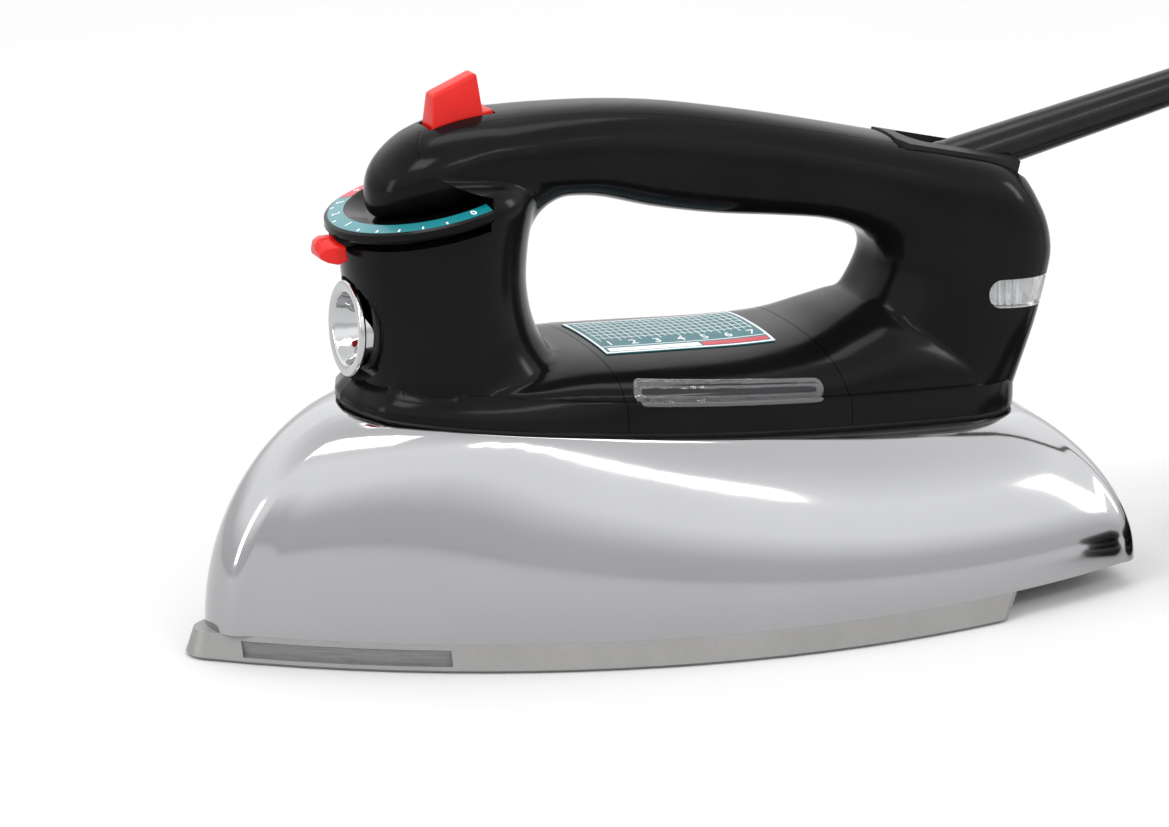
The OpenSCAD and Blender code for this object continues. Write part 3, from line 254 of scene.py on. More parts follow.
def apply_modifiers(o):
    dg = bpy.context.evaluated_depsgraph_get()
    me = bpy.data.meshes.new_from_object(o.evaluated_get(dg))
    o.modifiers.clear()
    o.data = me
    return o


def boolean(o, tool, how="DIFFERENCE", keep=False):
    md = o.modifiers.new("b", "BOOLEAN")
    md.operation = how
    md.object = tool
    md.solver = SOLVER
    apply_modifiers(o)
    if not keep:
        bpy.data.objects.remove(tool)
    return o


SOLVER = "MANIFOLD" if "MANIFOLD" in [
    e.identifier for e in bpy.types.BooleanModifier.bl_rna.properties["solver"].enum_items] else "EXACT"


def copy(o, name):
    c = bpy.data.objects.new(name, o.data.copy())
    bpy.context.scene.collection.objects.link(c)
    return c


def joined(name, objs, mat=None):
    verts, faces, base = [], [], 0
    for o in objs:
        verts += [tuple(c / MM for c in v.co) for v in o.data.vertices]
        faces += [tuple(base + i for i in p.vertices) for p in o.data.polygons]
        base += len(o.data.vertices)
        bpy.data.objects.remove(o)
    return mesh(name, verts, faces, mat)


def place(o, matrix):
    o.data.transform(matrix)
    o.data.update()
    return o


def at(x, y, z, tilt=0.0):
    """Frame at a point in millimetres, turned about Y."""
    return Matrix.Translation(Vector((x, y, z)) * MM) @ Matrix.Rotation(math.radians(tilt), 4, "Y")


# ---- curves shared with the CAD part ----
def mix(a, b, t):
    return a + (b - a) * t


def clamp(t, a=0.0, b=1.0):
    return min(max(t, a), b)


def power(c, e):
    return math.copysign(abs(c) ** e, c)


def curve(points, steps):
    p = [np.array(q, float) for q in points]
    out = []
    for i in range(len(p) - 1):
        a, b, c, d = p[max(i - 1, 0)], p[i], p[i + 1], p[min(i + 2, len(p) - 1)]
        for s in range(steps):
            t = s / steps
            out.append(0.5 * (2 * b + (c - a) * t + (2 * a - 5 * b + 4 * c - d) * t * t
                              + (3 * b - a - 3 * c + d) * t ** 3))
    return out + [p[-1]]


HALF_W, NOSE_X, TAIL_X, NOSE_R = 60, -125, 125, 7
WIDE_X, ROUND_X = NOSE_X + 157, NOSE_X + NOSE_R
SIDE_R = ((WIDE_X - ROUND_X) ** 2 + HALF_W ** 2 - NOSE_R ** 2) / (2 * (HALF_W - NOSE_R))
SIDE_Y = SIDE_R - HALF_W


def side_w(x, d=0.0):
    return math.sqrt(max((SIDE_R - d) ** 2 - (x - WIDE_X) ** 2, 0)) - SIDE_Y


DECK_TILT = math.degrees(math.atan(17.5 / 188))


def deck_z(x):
    return 61.5 - (x + 87) * 17.5 / 188


FOOT = [(-83.8, 0), (-82, 9), (-74.8, 20.6), (-52, 30.6), (-22, 35.4), (10, 36.3), (43, 32.8), (74, 27.2),
        (90, 22.8), (99.5, 14), (102.6, 0)]
FOOT_CURVE = np.array(curve(FOOT, 4))
FOOT_FINE = np.array(curve(FOOT, 12))


def foot_w(x):
    return float(np.interp(x, FOOT_CURVE[:, 0], FOOT_CURVE[:, 1]))


LEDGE, INSET, CORNER_R, REAR_R, GASKET, FOOT_H = 5.7, 2, 6, 500, 0.8, 7.7
DECK_NOSE, DECK_END = -82, 101
SKIRT_R = NOSE_R - INSET + 1
SKIRT_ROUND = NOSE_X + LEDGE + SKIRT_R
CORNER_X = TAIL_X - CORNER_R - 1.2


def deck_w(x):
    return max(foot_w(min(x + 1, 0) if x < 0 else x) + 1.5 - 8 * math.exp((DECK_NOSE - x) / 12), 0.3)


def skirt_base(d=0.0):
    e = INSET + d
    x0 = SKIRT_ROUND + 2.5
    w = side_w(CORNER_X, e)
    out = [(SKIRT_ROUND - (SKIRT_R - d) * math.cos(math.radians(a)), side_w(x0, e) * math.sin(math.radians(a)) * 0.9)
           for a in np.linspace(0, 78, 12)]
    out += [(x, side_w(x, e)) for x in np.linspace(x0, CORNER_X, 90)]
    out += [(CORNER_X + (CORNER_R - d) * math.cos(math.radians(a)), w - CORNER_R + CORNER_R * math.sin(math.radians(a)))
            for a in np.linspace(82, 10, 9)]
    out += [(TAIL_X - d - REAR_R + math.sqrt(REAR_R ** 2 - y * y), y) for y in np.linspace(w - CORNER_R, 0, 16)]
    return out


def skirt_ring(a, d=0.0):
    half = []
    c, s = math.cos(math.radians(a)), math.sin(math.radians(a))
    for bx, by in skirt_base(d):
        tx = mix(DECK_NOSE + d, DECK_END - d, (bx - NOSE_X - LEDGE) / (TAIL_X - NOSE_X - LEDGE))
        w = deck_w(tx) - d
        ty = 0 if by < 0.01 else w * by / side_w(bx, INSET) if bx > CORNER_X else w
        f = 1 - max(c, 0) ** 1.35
        half.append((mix(bx, tx, f), mix(by, ty, f), mix(7, deck_z(mix(bx, tx, f)) - d, s)))
    return half + [(x, -y, z) for x, y, z in reversed(half) if y > 0.01]


# ---- chrome shell ----
rings = [skirt_ring(a) for a in np.linspace(0, 90, 46)]
inner = [skirt_ring(a, 1.0) for a in (50, 25, 12, 5, 0)]
lip = [[(x, y, 7.0) for x, y, z in skirt_ring(0, 0.45)]]
shell = loft("skirt_shell", inner[:-1]
             + [[(p[0], p[1], 7.25) for p in inner[-1]]] + lip + rings, "chrome", caps=False)
top = mesh("skirt_top", rings[-1], [tuple(range(len(rings[-1])))], "chrome")
shell = joined("skirt_shell", [shell, top], "chrome")
for p in shell.data.polygons:
    p.use_smooth = True
shell.data.set_sharp_from_angle(angle=math.radians(40))
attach(shell, "iron")
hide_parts("skirt")

# ---- black handle: one blended form, then cut into its mouldings ----
OVER = [
    (-75.4, 110.6, -75.4, 117, 2.4, 2), (-73.4, 108.8, -73.6, 121.4, 7.6, 2), (-69.8, 108.4, -70, 125.6, 11.6, 2),
    (-64, 108.8, -64, 129.6, 14.6, 2.1), (-56, 110, -56, 132.2, 16.6, 2.2), (-46, 112, -47, 133.6, 17, 2.3),
    (-36.5, 110.8, -37.5, 134, 16.4, 2.3), (-27.5, 110.4, -27, 134, 15.4, 2.3),
    (-15.5, 109.4, -12, 133.4, 14.5, 2.3), (0, 105.2, 4, 131.7, 14, 2.3), (17, 101.8, 24, 128, 14, 2.3),
    (33.5, 99.8, 45, 123.3, 14.6, 2.4), (46.5, 98, 65, 118.4, 15.8, 2.5), (55.3, 95.2, 84, 113.8, 17.2, 2.6),
    (61.3, 91.4, 101.4, 108, 18.3, 2.8), (63.4, 87.6, 109.6, 96.8, 19, 3), (63.2, 84.6, 112.6, 86.4, 19.4, 3),
    (61, 79.5, 111.2, 77.6, 20, 3), (57, 72.5, 107.9, 66.4, 21, 3), (52.5, 63, 104, 55.6, 21.8, 2.9),
    (49, 50, 99.4, 43, 22.2, 2.8)]
COLUMN = [
    (50, -20.6, 40, 26.6), (62, -20, 39, 26.2), (67, -19.6, 36, 25.4), (72, -19.4, 31, 24.4),
    (80, -20.4, 26.6, 23.9), (90, -21.6, 24.6, 24), (100, -22.6, 25, 24.3), (108, -23.4, 26.6, 24.4),
    (113, -23.8, 28, 24), (117, -22.5, 27, 21.5), (119.4, -18, 23, 16.5)]
MOUND = [
    (-76, 0.4, 0.6), (-66, 1.2, 0.78), (-54, 2, 0.86), (-42, 4.2, 0.89), (-31, 6.6, 0.9), (-20, 7.9, 0.92),
    (0, 9, 0.93), (22, 10.4, 0.93), (40, 13, 0.93), (52, 17.2, 0.93), (62, 20, 0.93), (76, 17, 0.92),
    (90, 8, 0.88), (98, 1, 0.7)]
DIAL_X, DIAL_Z, TILT, DIAL_R, BEZEL_T, RIM_T = -59.2, 113.2, 10.7, 27, 3.4, 6.0


def over_ring(r, n=64, grow=0.0):
    a, b = np.array(r[0:2]), np.array(r[2:4])
    u = (b - a) / np.linalg.norm(b - a)
    h, c, e = np.linalg.norm(b - a) / 2 + grow, (a + b) / 2, 2 / r[5]
    out = []
    for k in range(n):
        t = 2 * math.pi * k / n
        p = c + u * h * power(math.cos(t), e)
        out.append((p[0], (r[4] + grow) * power(math.sin(t), e), p[1]))
    return out


def column_ring(r, n=72):
    xf, xr = DIAL_X + r[1], DIAL_X + r[2]
    c, h, e = (xf + xr) / 2, (xr - xf) / 2, mix(0.86, 1, clamp((r[0] - 62) / 14))
    return [(c + h * power(math.cos(t), e), r[3] * power(math.sin(t), e), r[0])
            for t in np.linspace(0, 2 * math.pi, n, endpoint=False)]


def mound_ring(r, n=48, grow=0.0):
    x = r[0]
    w, b, c = foot_w(x) * r[2] + grow, deck_z(x) + GASKET + FOOT_H - 1, r[1] + 1 + grow
    return [(x, w * power(math.cos(t), 0.85), b + c * power(math.sin(t), 0.85))
            for t in np.linspace(0, math.pi, n)] + [(x, -w, b - 7), (x, w, b - 7)]


def foot_ring(t, h, grow=0.0):
    half = []
    for i, p in enumerate(FOOT_FINE):
        q0, q1 = FOOT_FINE[max(i - 1, 0)], FOOT_FINE[min(i + 1, len(FOOT_FINE) - 1)]
        d = (q1 - q0) / np.linalg.norm(q1 - q0)
        e = (-1, 0) if i == 0 else (1, 0) if i == len(FOOT_FINE) - 1 else (-d[1], d[0])
        x, y = p[0] + e[0] * grow, max(p[1] + e[1] * grow, 0)
        q = mix(5.2, 0.5, clamp((x + 84) / 72)) * t
        x2 = x + (q * max(1 - y / 28, 0) ** 0.7 if x < 0 else -q)
        half.append((x2, y * (1 - q / max(foot_w(x), 1) * min(y / 10, 1)), h))
    return half + [(x, -y, z) for x, y, z in reversed(half) if y > 0.01]


ON_DECK = at(0, 0, deck_z(0), DECK_TILT)


def foot_block(name, grow=0.0):
    rows = [(0.06, GASKET + 0.02), (0, GASKET + 0.4), (0, GASKET + 2.4), (0.4, GASKET + 5.05),
            (0.8, GASKET + FOOT_H - 0.6), (0.92, GASKET + FOOT_H - 0.2), (1, GASKET + FOOT_H)]
    return place(loft(name, [foot_ring(t, h, grow) for t, h in rows]), ON_DECK)


def crook():
    """Fillet between the column's rear and the grip's underside, following both across the width."""
    rings = []
    for y in np.linspace(-15.2, 15.2, 33):
        x = DIAL_X + 1.2 + 23.8 * math.sqrt(1 - (y / 24.3) ** 2)
        z = 122.2 - 11.8 * (1 - (abs(y) / 15.4) ** 2.3) ** (1 / 2.3)
        r = mix(13, 8, (abs(y) / 15.2) ** 2)
        bend = [(x + r + r * math.cos(math.radians(a)), y, z - r + r * math.sin(math.radians(a)))
                for a in np.linspace(180, 90, 14)]
        rings.append([(x - 5, y, z + 4), (x - 5, y, z - r)] + bend + [(x + r, y, z + 4)])
    return loft("crook", rings)


def blended(name, parts):
    """One skin over overlapping solids, with its inner corners rounded."""
    o = joined(name, parts)
    md = o.modifiers.new("r", "REMESH")
    md.mode = "VOXEL"
    md.voxel_size = 0.00085
    md = o.modifiers.new("s", "SMOOTH")
    md.factor = 0.5
    md.iterations = 9
    apply_modifiers(o)
    return o


def grip():
    return loft("over", [over_ring(r) for r in curve(OVER, 8)])


form = blended("form", [
    grip(), loft("column", [column_ring(r) for r in curve(COLUMN, 6)]),
    loft("mound", [mound_ring(r) for r in curve(MOUND, 5)]), crook()])
inside = copy(form, "inside")
md = inside.modifiers.new("d", "DISPLACE")
md.strength = -0.0030
md.mid_level = 0.0
apply_modifiers(inside)
whole = boolean(form, foot_block("foot"), "UNION")
deck_cut = place(loft("below", [[(-200, -80, h), (200, -80, h), (200, 80, h), (-200, 80, h)]
                                for h in (-60, GASKET)]), ON_DECK)
boolean(whole, deck_cut)


def axis_frame(t=0.0):
    return at(DIAL_X, 0, DIAL_Z, -TILT) @ Matrix.Translation((0, 0, -t * MM))


def disc(name, r, z0, z1, mtx, steps=96):
    ring = [(r * math.cos(a), r * math.sin(a)) for a in np.linspace(0, 2 * math.pi, steps, endpoint=False)]
    return place(prism(name, ring, z0, z1, "z"), mtx)


SLOT_X = DIAL_X + 7.8


def saddle_zone(d=0.0):
    front = -19.5
    return prism("saddle_zone", [(front + d, 20), (front + d, 86), (34 - d, 86), (36 - d, 76), (40.2 - d, 68.3),
                                 (43.7 - d, 58.3), (44.6 - d, 20)], -100, 100)


SPOON = [(-50, 116.4), (-56, 118.2), (-62, 121), (-65.4, 125.4), (-62.6, 130), (-55, 132), (-45, 133)]
BAND = [(-62, 128), (-47, 129.5), (-27, 130.4), (-12, 129.8), (4, 128.2), (24, 124.4), (45, 119.6), (67, 114)]


def cover_zone(d=0.0):
    back = 8.4
    tan = math.tan(math.radians(TILT))
    edge = curve(SPOON, 6)
    cap = prism("cap", [(DIAL_X - 60, DIAL_Z - 2.2 - 60 * tan), (DIAL_X + back - d, DIAL_Z - 2.2 + back * tan)]
                + [(p[0] - d * 0.7, p[1] + d) for p in edge] + [(-45, 154), (DIAL_X - 60, 154)], -50, 50)
    band = prism("band", [(p[0], p[1] + d) for p in curve(BAND, 6)] + [(66 - d, 154), (-62, 154)],
                 -8.2 + d, 8.2 - d)
    return boolean(cap, band, "UNION")


def lens_zone(d=0.0):
    z, h, x0 = 76.8, 7.4, 88.6
    arc = [(x0 + h / 2 + (h / 2 + d) * math.cos(math.radians(a)), z + (h / 2 + d) * math.sin(math.radians(a)))
           for a in np.linspace(90, 270, 20)]
    return prism("lens_zone", arc + [(140, z - 5 - h / 2 - d), (140, z - 3 + h / 2 + d)], -100, 100)


def window_zone(s, d=0.0):
    r, half = 2.4 + d, 26.3 - 2.4
    out = [(half + r * math.cos(math.radians(a)), r * math.sin(math.radians(a))) for a in np.linspace(-90, 90, 14)] \
        + [(-half + r * math.cos(math.radians(a)), r * math.sin(math.radians(a))) for a in np.linspace(90, 270, 14)]
    lo, hi = (20, 120) if s > 0 else (-120, -20)
    return place(prism("window_zone", out, lo, hi), at(9.7, 0, 62.9, math.degrees(math.atan(0.095))))


def front_half(reach=0.0):
    return prism("front_half", [(DIAL_X - 80, 0), (SLOT_X + reach, 0), (SLOT_X + reach, 200), (DIAL_X - 80, 200)],
                 -60, 60)


def plate_zone(d=0.0):
    w = 10.4 + d
    return place(prism("plate_zone", [(-w, -5.3 - d), (w, -5.3 - d), (w, 60), (-w, 60)], -d, 60, "x"),
                 at(67, 0, 118.4, 13.3))


def button_hole(d=0.0, deep=-9):
    m = at(-52.6, 0, 130.6, -TILT)
    return place(loft("button_hole", [[(-7.15 - d, -4.15 - d, h), (10.15 + d, -4.15 - d, h), (10.15 + d, 4.15 + d, h),
                                       (-7.15 - d, 4.15 + d, h)] for h in (deep, 30)]), m)


# Nose cap with the band along the grip
cover = boolean(blended("handle_cap", [grip()]), cover_zone(0.0), "INTERSECT")
boolean(cover, plate_zone())
under_dial = boolean(disc("under", 60, -14, -2.2, axis_frame()), front_half(), "INTERSECT")
boolean(cover, under_dial)
boolean(cover, button_hole(0.3, -16))
# Saddle between the columns
saddle = boolean(copy(whole, "saddle"), saddle_zone(0.14), "INTERSECT")
for s in (-1, 1):
    boolean(saddle, window_zone(s))
# The body is what remains
body = copy(whole, "handle_main")
boolean(body, saddle_zone(-0.05))
boolean(body, cover_zone(-0.12))
dial_room = boolean(disc("room", DIAL_R + 12, -RIM_T, 1.1, axis_frame()), front_half(), "INTERSECT")
boolean(body, dial_room)
boolean(body, plate_zone(0.12))
boolean(body, lens_zone(0.06))
boolean(body, button_hole(0.3, -16))
bore = disc("bore", 19.5, -60, 1 - RIM_T, axis_frame())
boolean(body, bore)
FUNNEL = at(-76.4, 0, 80.6, -88)
boss = disc("boss", 11.8, -14, 0, FUNNEL)
boolean(body, boss, "UNION")
boolean(body, disc("mouth", 8.6, -40, 1, FUNNEL))
boolean(body, disc("clear", 13.3, 0, 20, FUNNEL))
PIVOT = (84.0, 0.0, 118.4 - 17 * math.tan(math.radians(13.3)) - 6.6)
bpy.ops.mesh.primitive_uv_sphere_add(radius=6.5 * MM, segments=48, ring_count=24, location=[c * MM for c in PIVOT])
ball = bpy.context.object
place(ball, ball.matrix_world.copy())
ball.matrix_world = Matrix.Identity(4)
boolean(body, ball)
boolean(body, disc("notch", 6.3, 0, 60, at(*PIVOT, 77.5)))
for o, node in ((cover, "handle_cover"), (saddle, "saddle_cover"), (body, "handle_body")):
    o.data.materials.clear()
    o.data.materials.append(MAT["black"])
    smooth(o, 38)
    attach(o, "iron")
    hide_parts(node)

# Clear water windows, with a raised rim and two inner lines
for s, side in ((-1, "left"), (1, "right")):
    w = boolean(copy(whole, "window_" + side), window_zone(s, -0.05), "INTERSECT")
    boolean(w, inside, keep=True)
    md = w.modifiers.new("d", "DISPLACE")
    md.strength, md.mid_level = 0.0003, 0.0
    apply_modifiers(w)
    w.data.materials.clear()
    w.data.materials.append(MAT["smoked"])
    smooth(w, 38)
    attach(w, "iron")
    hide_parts("water_window_" + side)
    for k, (d0, d1) in enumerate(((-0.1, -0.55), (-1.25, -1.45))):
        r = boolean(copy(whole, "window_rim_%s_%d" % (side, k)), window_zone(s, d0), "INTERSECT")
        boolean(r, window_zone(s, d1))
        boolean(r, inside, keep=True)
        md = r.modifiers.new("d", "DISPLACE")
        md.strength, md.mid_level = 0.0005, 0.0
        apply_modifiers(r)
        r.data.materials.clear()
        r.data.materials.append(MAT["clear"])
        smooth(r, 38)
        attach(r, "iron")

# Pilot lens and the white ribbed piece behind it
lens = boolean(copy(whole, "lens"), lens_zone(-0.02), "INTERSECT")
boolean(lens, inside, keep=True)
white = boolean(copy(inside, "lens_white"), lens_zone(-0.3), "INTERSECT")
for k in range(9):
    x = 91.5 + 2.2 * k
    boolean(white, prism("rib", [(x, 60), (x + 0.8, 60), (x + 0.8, 90), (x, 90)], -40, -15.6))
for o, m in ((lens, "clear"), (white, "milky")):
    o.data.materials.clear()
    o.data.materials.append(MAT[m])
    smooth(o, 38)
    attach(o, "iron")
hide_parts("pilot_lens")
bpy.data.objects.remove(whole)
bpy.data.objects.remove(inside)

# ---- printed marks laid on a curved surface ----
MOUND_FINE = np.array(curve(MOUND, 5))


def saddle_z(x, y):
    crown, share = (float(np.interp(x, MOUND_FINE[:, 0], MOUND_FINE[:, k])) for k in (1, 2))
    w = foot_w(x) * share
    c = clamp(abs(y) / w) ** (1 / 0.85)
    return deck_z(x) + GASKET + FOOT_H - 1 + (crown + 1) * math.sqrt(max(1 - c * c, 0)) ** 0.85


def patch(name, outline_rect, lift, mat, thick=0.12, n=(40, 30)):
    x0, x1, y0, y1 = outline_rect
    xs, ys = np.linspace(x0, x1, n[0]), np.linspace(y0, y1, n[1])
    verts = [(x, y, saddle_z(x, y) + lift) for x in xs for y in ys]
    verts += [(x, y, saddle_z(x, y) + lift - thick) for x in xs for y in ys]
    m, t = n[1], n[0] * n[1]
    faces = []
    for i in range(n[0] - 1):
        for j in range(m - 1):
            a = i * m + j
            faces.append((a, a + m, a + m + 1, a + 1))
            faces.append((t + a, t + a + 1, t + a + m + 1, t + a + m))
    edge = [i * m for i in range(n[0])] + [(n[0] - 1) * m + j for j in range(1, m)] \
        + [i * m + m - 1 for i in range(n[0] - 2, -1, -1)] + [j for j in range(m - 2, 0, -1)]
    for a, b in zip(edge, edge[1:] + edge[:1]):
        faces.append((a, b, t + b, t + a))
    return outward(mesh(name, verts, faces, mat))


def digits(text, size):
    """Triangles of a number, centred on its own middle, in millimetres."""
    c = bpy.data.curves.new("digits", "FONT")
    c.body, c.size, c.align_x, c.align_y = text, size, "CENTER", "CENTER"
    o = bpy.data.objects.new("digits", c)
    bpy.context.scene.collection.objects.link(o)
    me = bpy.data.meshes.new_from_object(o.evaluated_get(bpy.context.evaluated_depsgraph_get()))
    out = [tuple(v.co[:2]) for v in me.vertices], [tuple(p.vertices) for p in me.polygons]
    bpy.data.objects.remove(o)
    return out


def raised(name, flat, put, mat, up):
    """Flat figure (verts, faces) mapped by put(u, v, height), given thickness."""
    verts, faces = flat
    n = len(verts)
    top = [put(u, v, up) for u, v in verts]
    low_side = [put(u, v, up - 0.1) for u, v in verts]
    edges = {}
    for f in faces:
        for a, b in zip(f, f[1:] + f[:1]):
            edges[(a, b)] = 1
    walls = [(b, a, a + n, b + n) for a, b in edges if (b, a) not in edges]
    return outward(mesh(name, top + low_side, list(faces) + [tuple(i + n for i in reversed(f)) for f in faces]
                        + walls, mat))


label = [patch("field", (-17, 30, -15, 15), 0.3, "teal_cloth", 0.6)]
marks_white = [patch("edge", r, 0.36, "ink") for r in (
    (-17, 30, -15, -14.3), (-17, 30, 14.3, 15), (-17, -16.3, -14.3, 14.3), (29.3, 30, -14.3, 14.3))]
marks_white += [patch("row", (-16.2, 29.2, -10.4, -10.1), 0.36, "ink"),
                patch("strip", (-15.4, 10, -13.8, -11.4), 0.34, "ink")]
for k in range(24):
    x = -14.6 + 1.85 * k
    marks_white.append(patch("line", (x, x + 0.22, -4.2 if k % 3 else -5.6, 13.6), 0.36, "ink", n=(2, 30)))
for k in range(6):
    y = -3 + 3 * k
    marks_white.append(patch("cross", (-15, 28.6, y, y + 0.2), 0.355, "ink", n=(40, 2)))
for k in range(7):
    x = -13 + 6.6 * k
    marks_white.append(raised("n", digits(str(k + 1), 4.6),
                              lambda u, v, h, x=x: (x + u, -7.6 + v, saddle_z(x + u, -7.6 + v) + h), "ink", 0.38))
for n, o in (("label_marks", joined("label_marks", marks_white, "ink")), ("label_field", joined("label_field", label, "teal_cloth")),
             ("label_red", patch("label_red", (10.6, 28.8, -13.8, -11.4), 0.37, "red_ink"))):
    smooth(o, 38)
    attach(o, "iron")
    if n == "label_field":
        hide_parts("fabric_label")

# ---- dial: numbers, ticks and the red sector on the teal band ----
AXIS = axis_frame()


def on_band(angle, r, h):
    """Point on the band's cone; angle in degrees from the nose, positive towards the iron's left."""
    a = math.radians(180 + angle)
    z = mix(0.1, -0.5, (r - 21.6) / 4.1) + h
    return AXIS @ (Vector((r * math.cos(a), r * math.sin(a), z)) * MM) / MM


def band_arc(name, a0, a1, r0, r1, up, mat):
    n = max(int(abs(a1 - a0) / 2), 1)
    flat = [(mix(a0, a1, k / n), r) for k in range(n + 1) for r in (r0, r1)]
    faces = [(2 * k, 2 * k + 1, 2 * k + 3, 2 * k + 2) for k in range(n)]
    return raised(name, (flat, faces), lambda u, v, h: tuple(on_band(u, v, h)), mat, up)


def band_digit(text, angle):
    def put(u, v, h):
        return tuple(on_band(angle + math.degrees(u / 23.6), 23.6 - v, h))
    return raised("d", digits(text, 3.0), put, "ink", 0.12)


dial = [band_digit(t, a) for t, a in (("0", 98), ("1", 10), ("2", -16), ("3", -38), ("4", -60), ("5", -80))]
dial += [band_arc("t", a - 0.5, a + 0.5, 24.4, 25.4, 0.11, "ink") for a in (-30, -4, 24, 38, 52, 66, 80)]
dial = joined("dial_marks", dial, "ink")
red_arc = band_arc("dial_red", -88, -48, 21.8, 25.3, 0.06, "red_ink")
for o in (dial, red_arc):
    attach(o, "iron")


# ---- red lever and button ----
def rounded(o, width, angle=30, segments=4):
    md = o.modifiers.new("b", "BEVEL")
    md.width = width * MM
    md.segments = segments
    md.limit_method = "ANGLE"
    md.angle_limit = math.radians(angle)
    md.harden_normals = False
    apply_modifiers(o)
    return smooth(o, 50)


ROWS = [(-25.2, -3.9, 6.6, -8.6), (-28.4, -3.4, 6.6, -8.9), (-30.4, -3.6, 5.2, -8.2), (-31.8, -5.2, 3.4, -7.2)]
lever = loft("lever", [[(a, -w, lo), (a, -w, hi - 0.8), (a, -1.3, hi), (a, -0.7, hi + 0.7), (a, 0.7, hi + 0.7),
                        (a, 1.3, hi), (a, w, hi - 0.8), (a, w, lo)] for a, hi, w, lo in ROWS], "red")
place(lever, AXIS)
boolean(lever, disc("inner", 26.4, -20, 10, AXIS))
rounded(lever, 0.45)
lever.data.materials.clear()
lever.data.materials.append(MAT["red"])
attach(lever, "temperature_control")
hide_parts("temperature_lever")

BUTTON = at(-52.6, 0, 130.6, -TILT)
l, w = 7.15, 4.15
cap = loft("button", [[(-l + q0, -w + q2, a), (l - q1, -w + q2, b), (l - q1, w - q2, b), (-l + q0, w - q2, a)]
                      for q0, q1, q2, a, b in ((0, 0, 0, -8, -8), (0, 0, 0, -1, -1), (2.8, -0.8, 1.5, 9.2, 11.6),
                                               (3.6, 0, 2, 9.7, 12))], "red")
step = loft("button_step", [[(l - 0.5, -w + 0.6, h), (l + 2.9, -w + 0.6, h), (l + 2.9, w - 0.6, h),
                             (l - 0.5, w - 0.6, h)] for h in (-8, 2)], "red")
rounded(cap, 0.7)
rounded(step, 0.4)
button = joined("button", [place(cap, BUTTON), place(step, BUTTON)], "red")
smooth(button, 50)
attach(button, "steam_button")
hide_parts("steam_button")

# ---- spring below the button; the real one shortens with the stroke, this mesh keeps one length ----
SPRING_R, WIRE, SPRING_TURNS, SPRING_LOW, SPRING_H = 5.2, 0.4, 3.5, 1.78, 8.76
rings = []
for k in range(int(SPRING_TURNS * 24) + 1):
    a = 2 * math.pi * k / 24
    c = (SPRING_R * math.cos(a), SPRING_R * math.sin(a), SPRING_H * k / (SPRING_TURNS * 24) - SPRING_LOW)
    rings.append([(c[0] + WIRE * math.cos(b) * math.cos(a), c[1] + WIRE * math.cos(b) * math.sin(a),
                   c[2] + WIRE * math.sin(b)) for b in np.linspace(0, 2 * math.pi, 10, endpoint=False)])
spring = smooth(place(loft("spring", rings, "wire"), AXIS), 60)
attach(spring, "iron")
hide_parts("valve_spring")
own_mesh(spring)

# ---- funnel: thin turned wall with a rolled lip ----
def arc(cx, cz, r, a0, a1, n):
    return [(cx + r * math.cos(math.radians(a)), cz + r * math.sin(math.radians(a))) for a in np.linspace(a0, a1, n)]


profile = [(8.4, -3), (8.4, 0.8), (9.7, 0.8), (9.8, 3.2)] + arc(11.4, 4.7, 0.9, -110, 100, 14) \
    + arc(10.4, 3.9, 1.6, 80, 150, 8)[1:] + [(8.6, 3.1), (7.9, 2.2), (7.4, 1.2), (6.8, -0.4), (6, -2), (4.6, -4),
                                             (3.4, -5), (3.4, -6), (5, -6), (7, -3)]
funnel = place(turned("funnel", profile, 128, "funnel"), FUNNEL)
smooth(funnel, 40)
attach(funnel, "iron")
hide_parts("filler_funnel")

# ---- soleplate: the same plate, its face, sides and thumb panels finished apart ----
src = NODES["soleplate"]
sole = bpy.data.objects.new("sole", src.data.copy())
bpy.context.scene.collection.objects.link(sole)
sole.data.materials.clear()
for k in ("sole", "sole_side", "grooved"):
    sole.data.materials.append(MAT[k])
for p in sole.data.polygons:
    c, nrm = p.center / MM, p.normal
    y = abs(c.y)
    panel = -114.2 < c.x < -67.8 and 1.65 < c.z < 5.65 and y < side_w(c.x, 1.6) and y > side_w(c.x, 4) and c.z > 1.6
    p.material_index = 0 if nrm.z < -0.9 and c.z < 0.1 else 2 if panel and abs(nrm.z) < 0.5 else 1
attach(sole, "iron")
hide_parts("soleplate")

# ---- cord: sleeve tip, fall, seven turns, lead to the plug ----
TIP = (PIVOT[0] + 78 * math.cos(math.radians(12.5)), 0.0, PIVOT[2] + 78 * math.sin(math.radians(12.5)))
ROUTE = [
    (0, 0, 124.66), (4, 0, 125.9), (10, 0, 126.5), (17, 0, 125.5), (24, 0, 122.9), (32, 0, 118.4), (40, 0, 110.8),
    (48, -0.7, 98), (56, -3, 84), (63, -6, 70), (69.5, -11, 56), (75, -16.5, 42.5), (79.5, -23, 30),
    (83, -30.5, 22.6), (85, -38, 18.4)]
LEAD = [(0.6, -20.5, 3.5), (4, -11, 3.5), (7.5, -1.5, 3.5), (13.5, 9, 3.5), (23, 16.6, 4.5), (30, 20, 7),
        (37, 21.3, 11.4), (41.9, 21.3, 12)]
CX, CY = TIP[0] + 40, -45.5
TRACKS = [(45.5, 15.62), (38.5, 15.62), (35.0, 9.56), (42.0, 9.56), (31.5, 3.55), (38.5, 3.55), (45.5, 3.55)]
path = curve([(TIP[0] + x, y, z) for x, y, z in ROUTE], 4)
turn_len = 332
total = 360 * 6 + 200
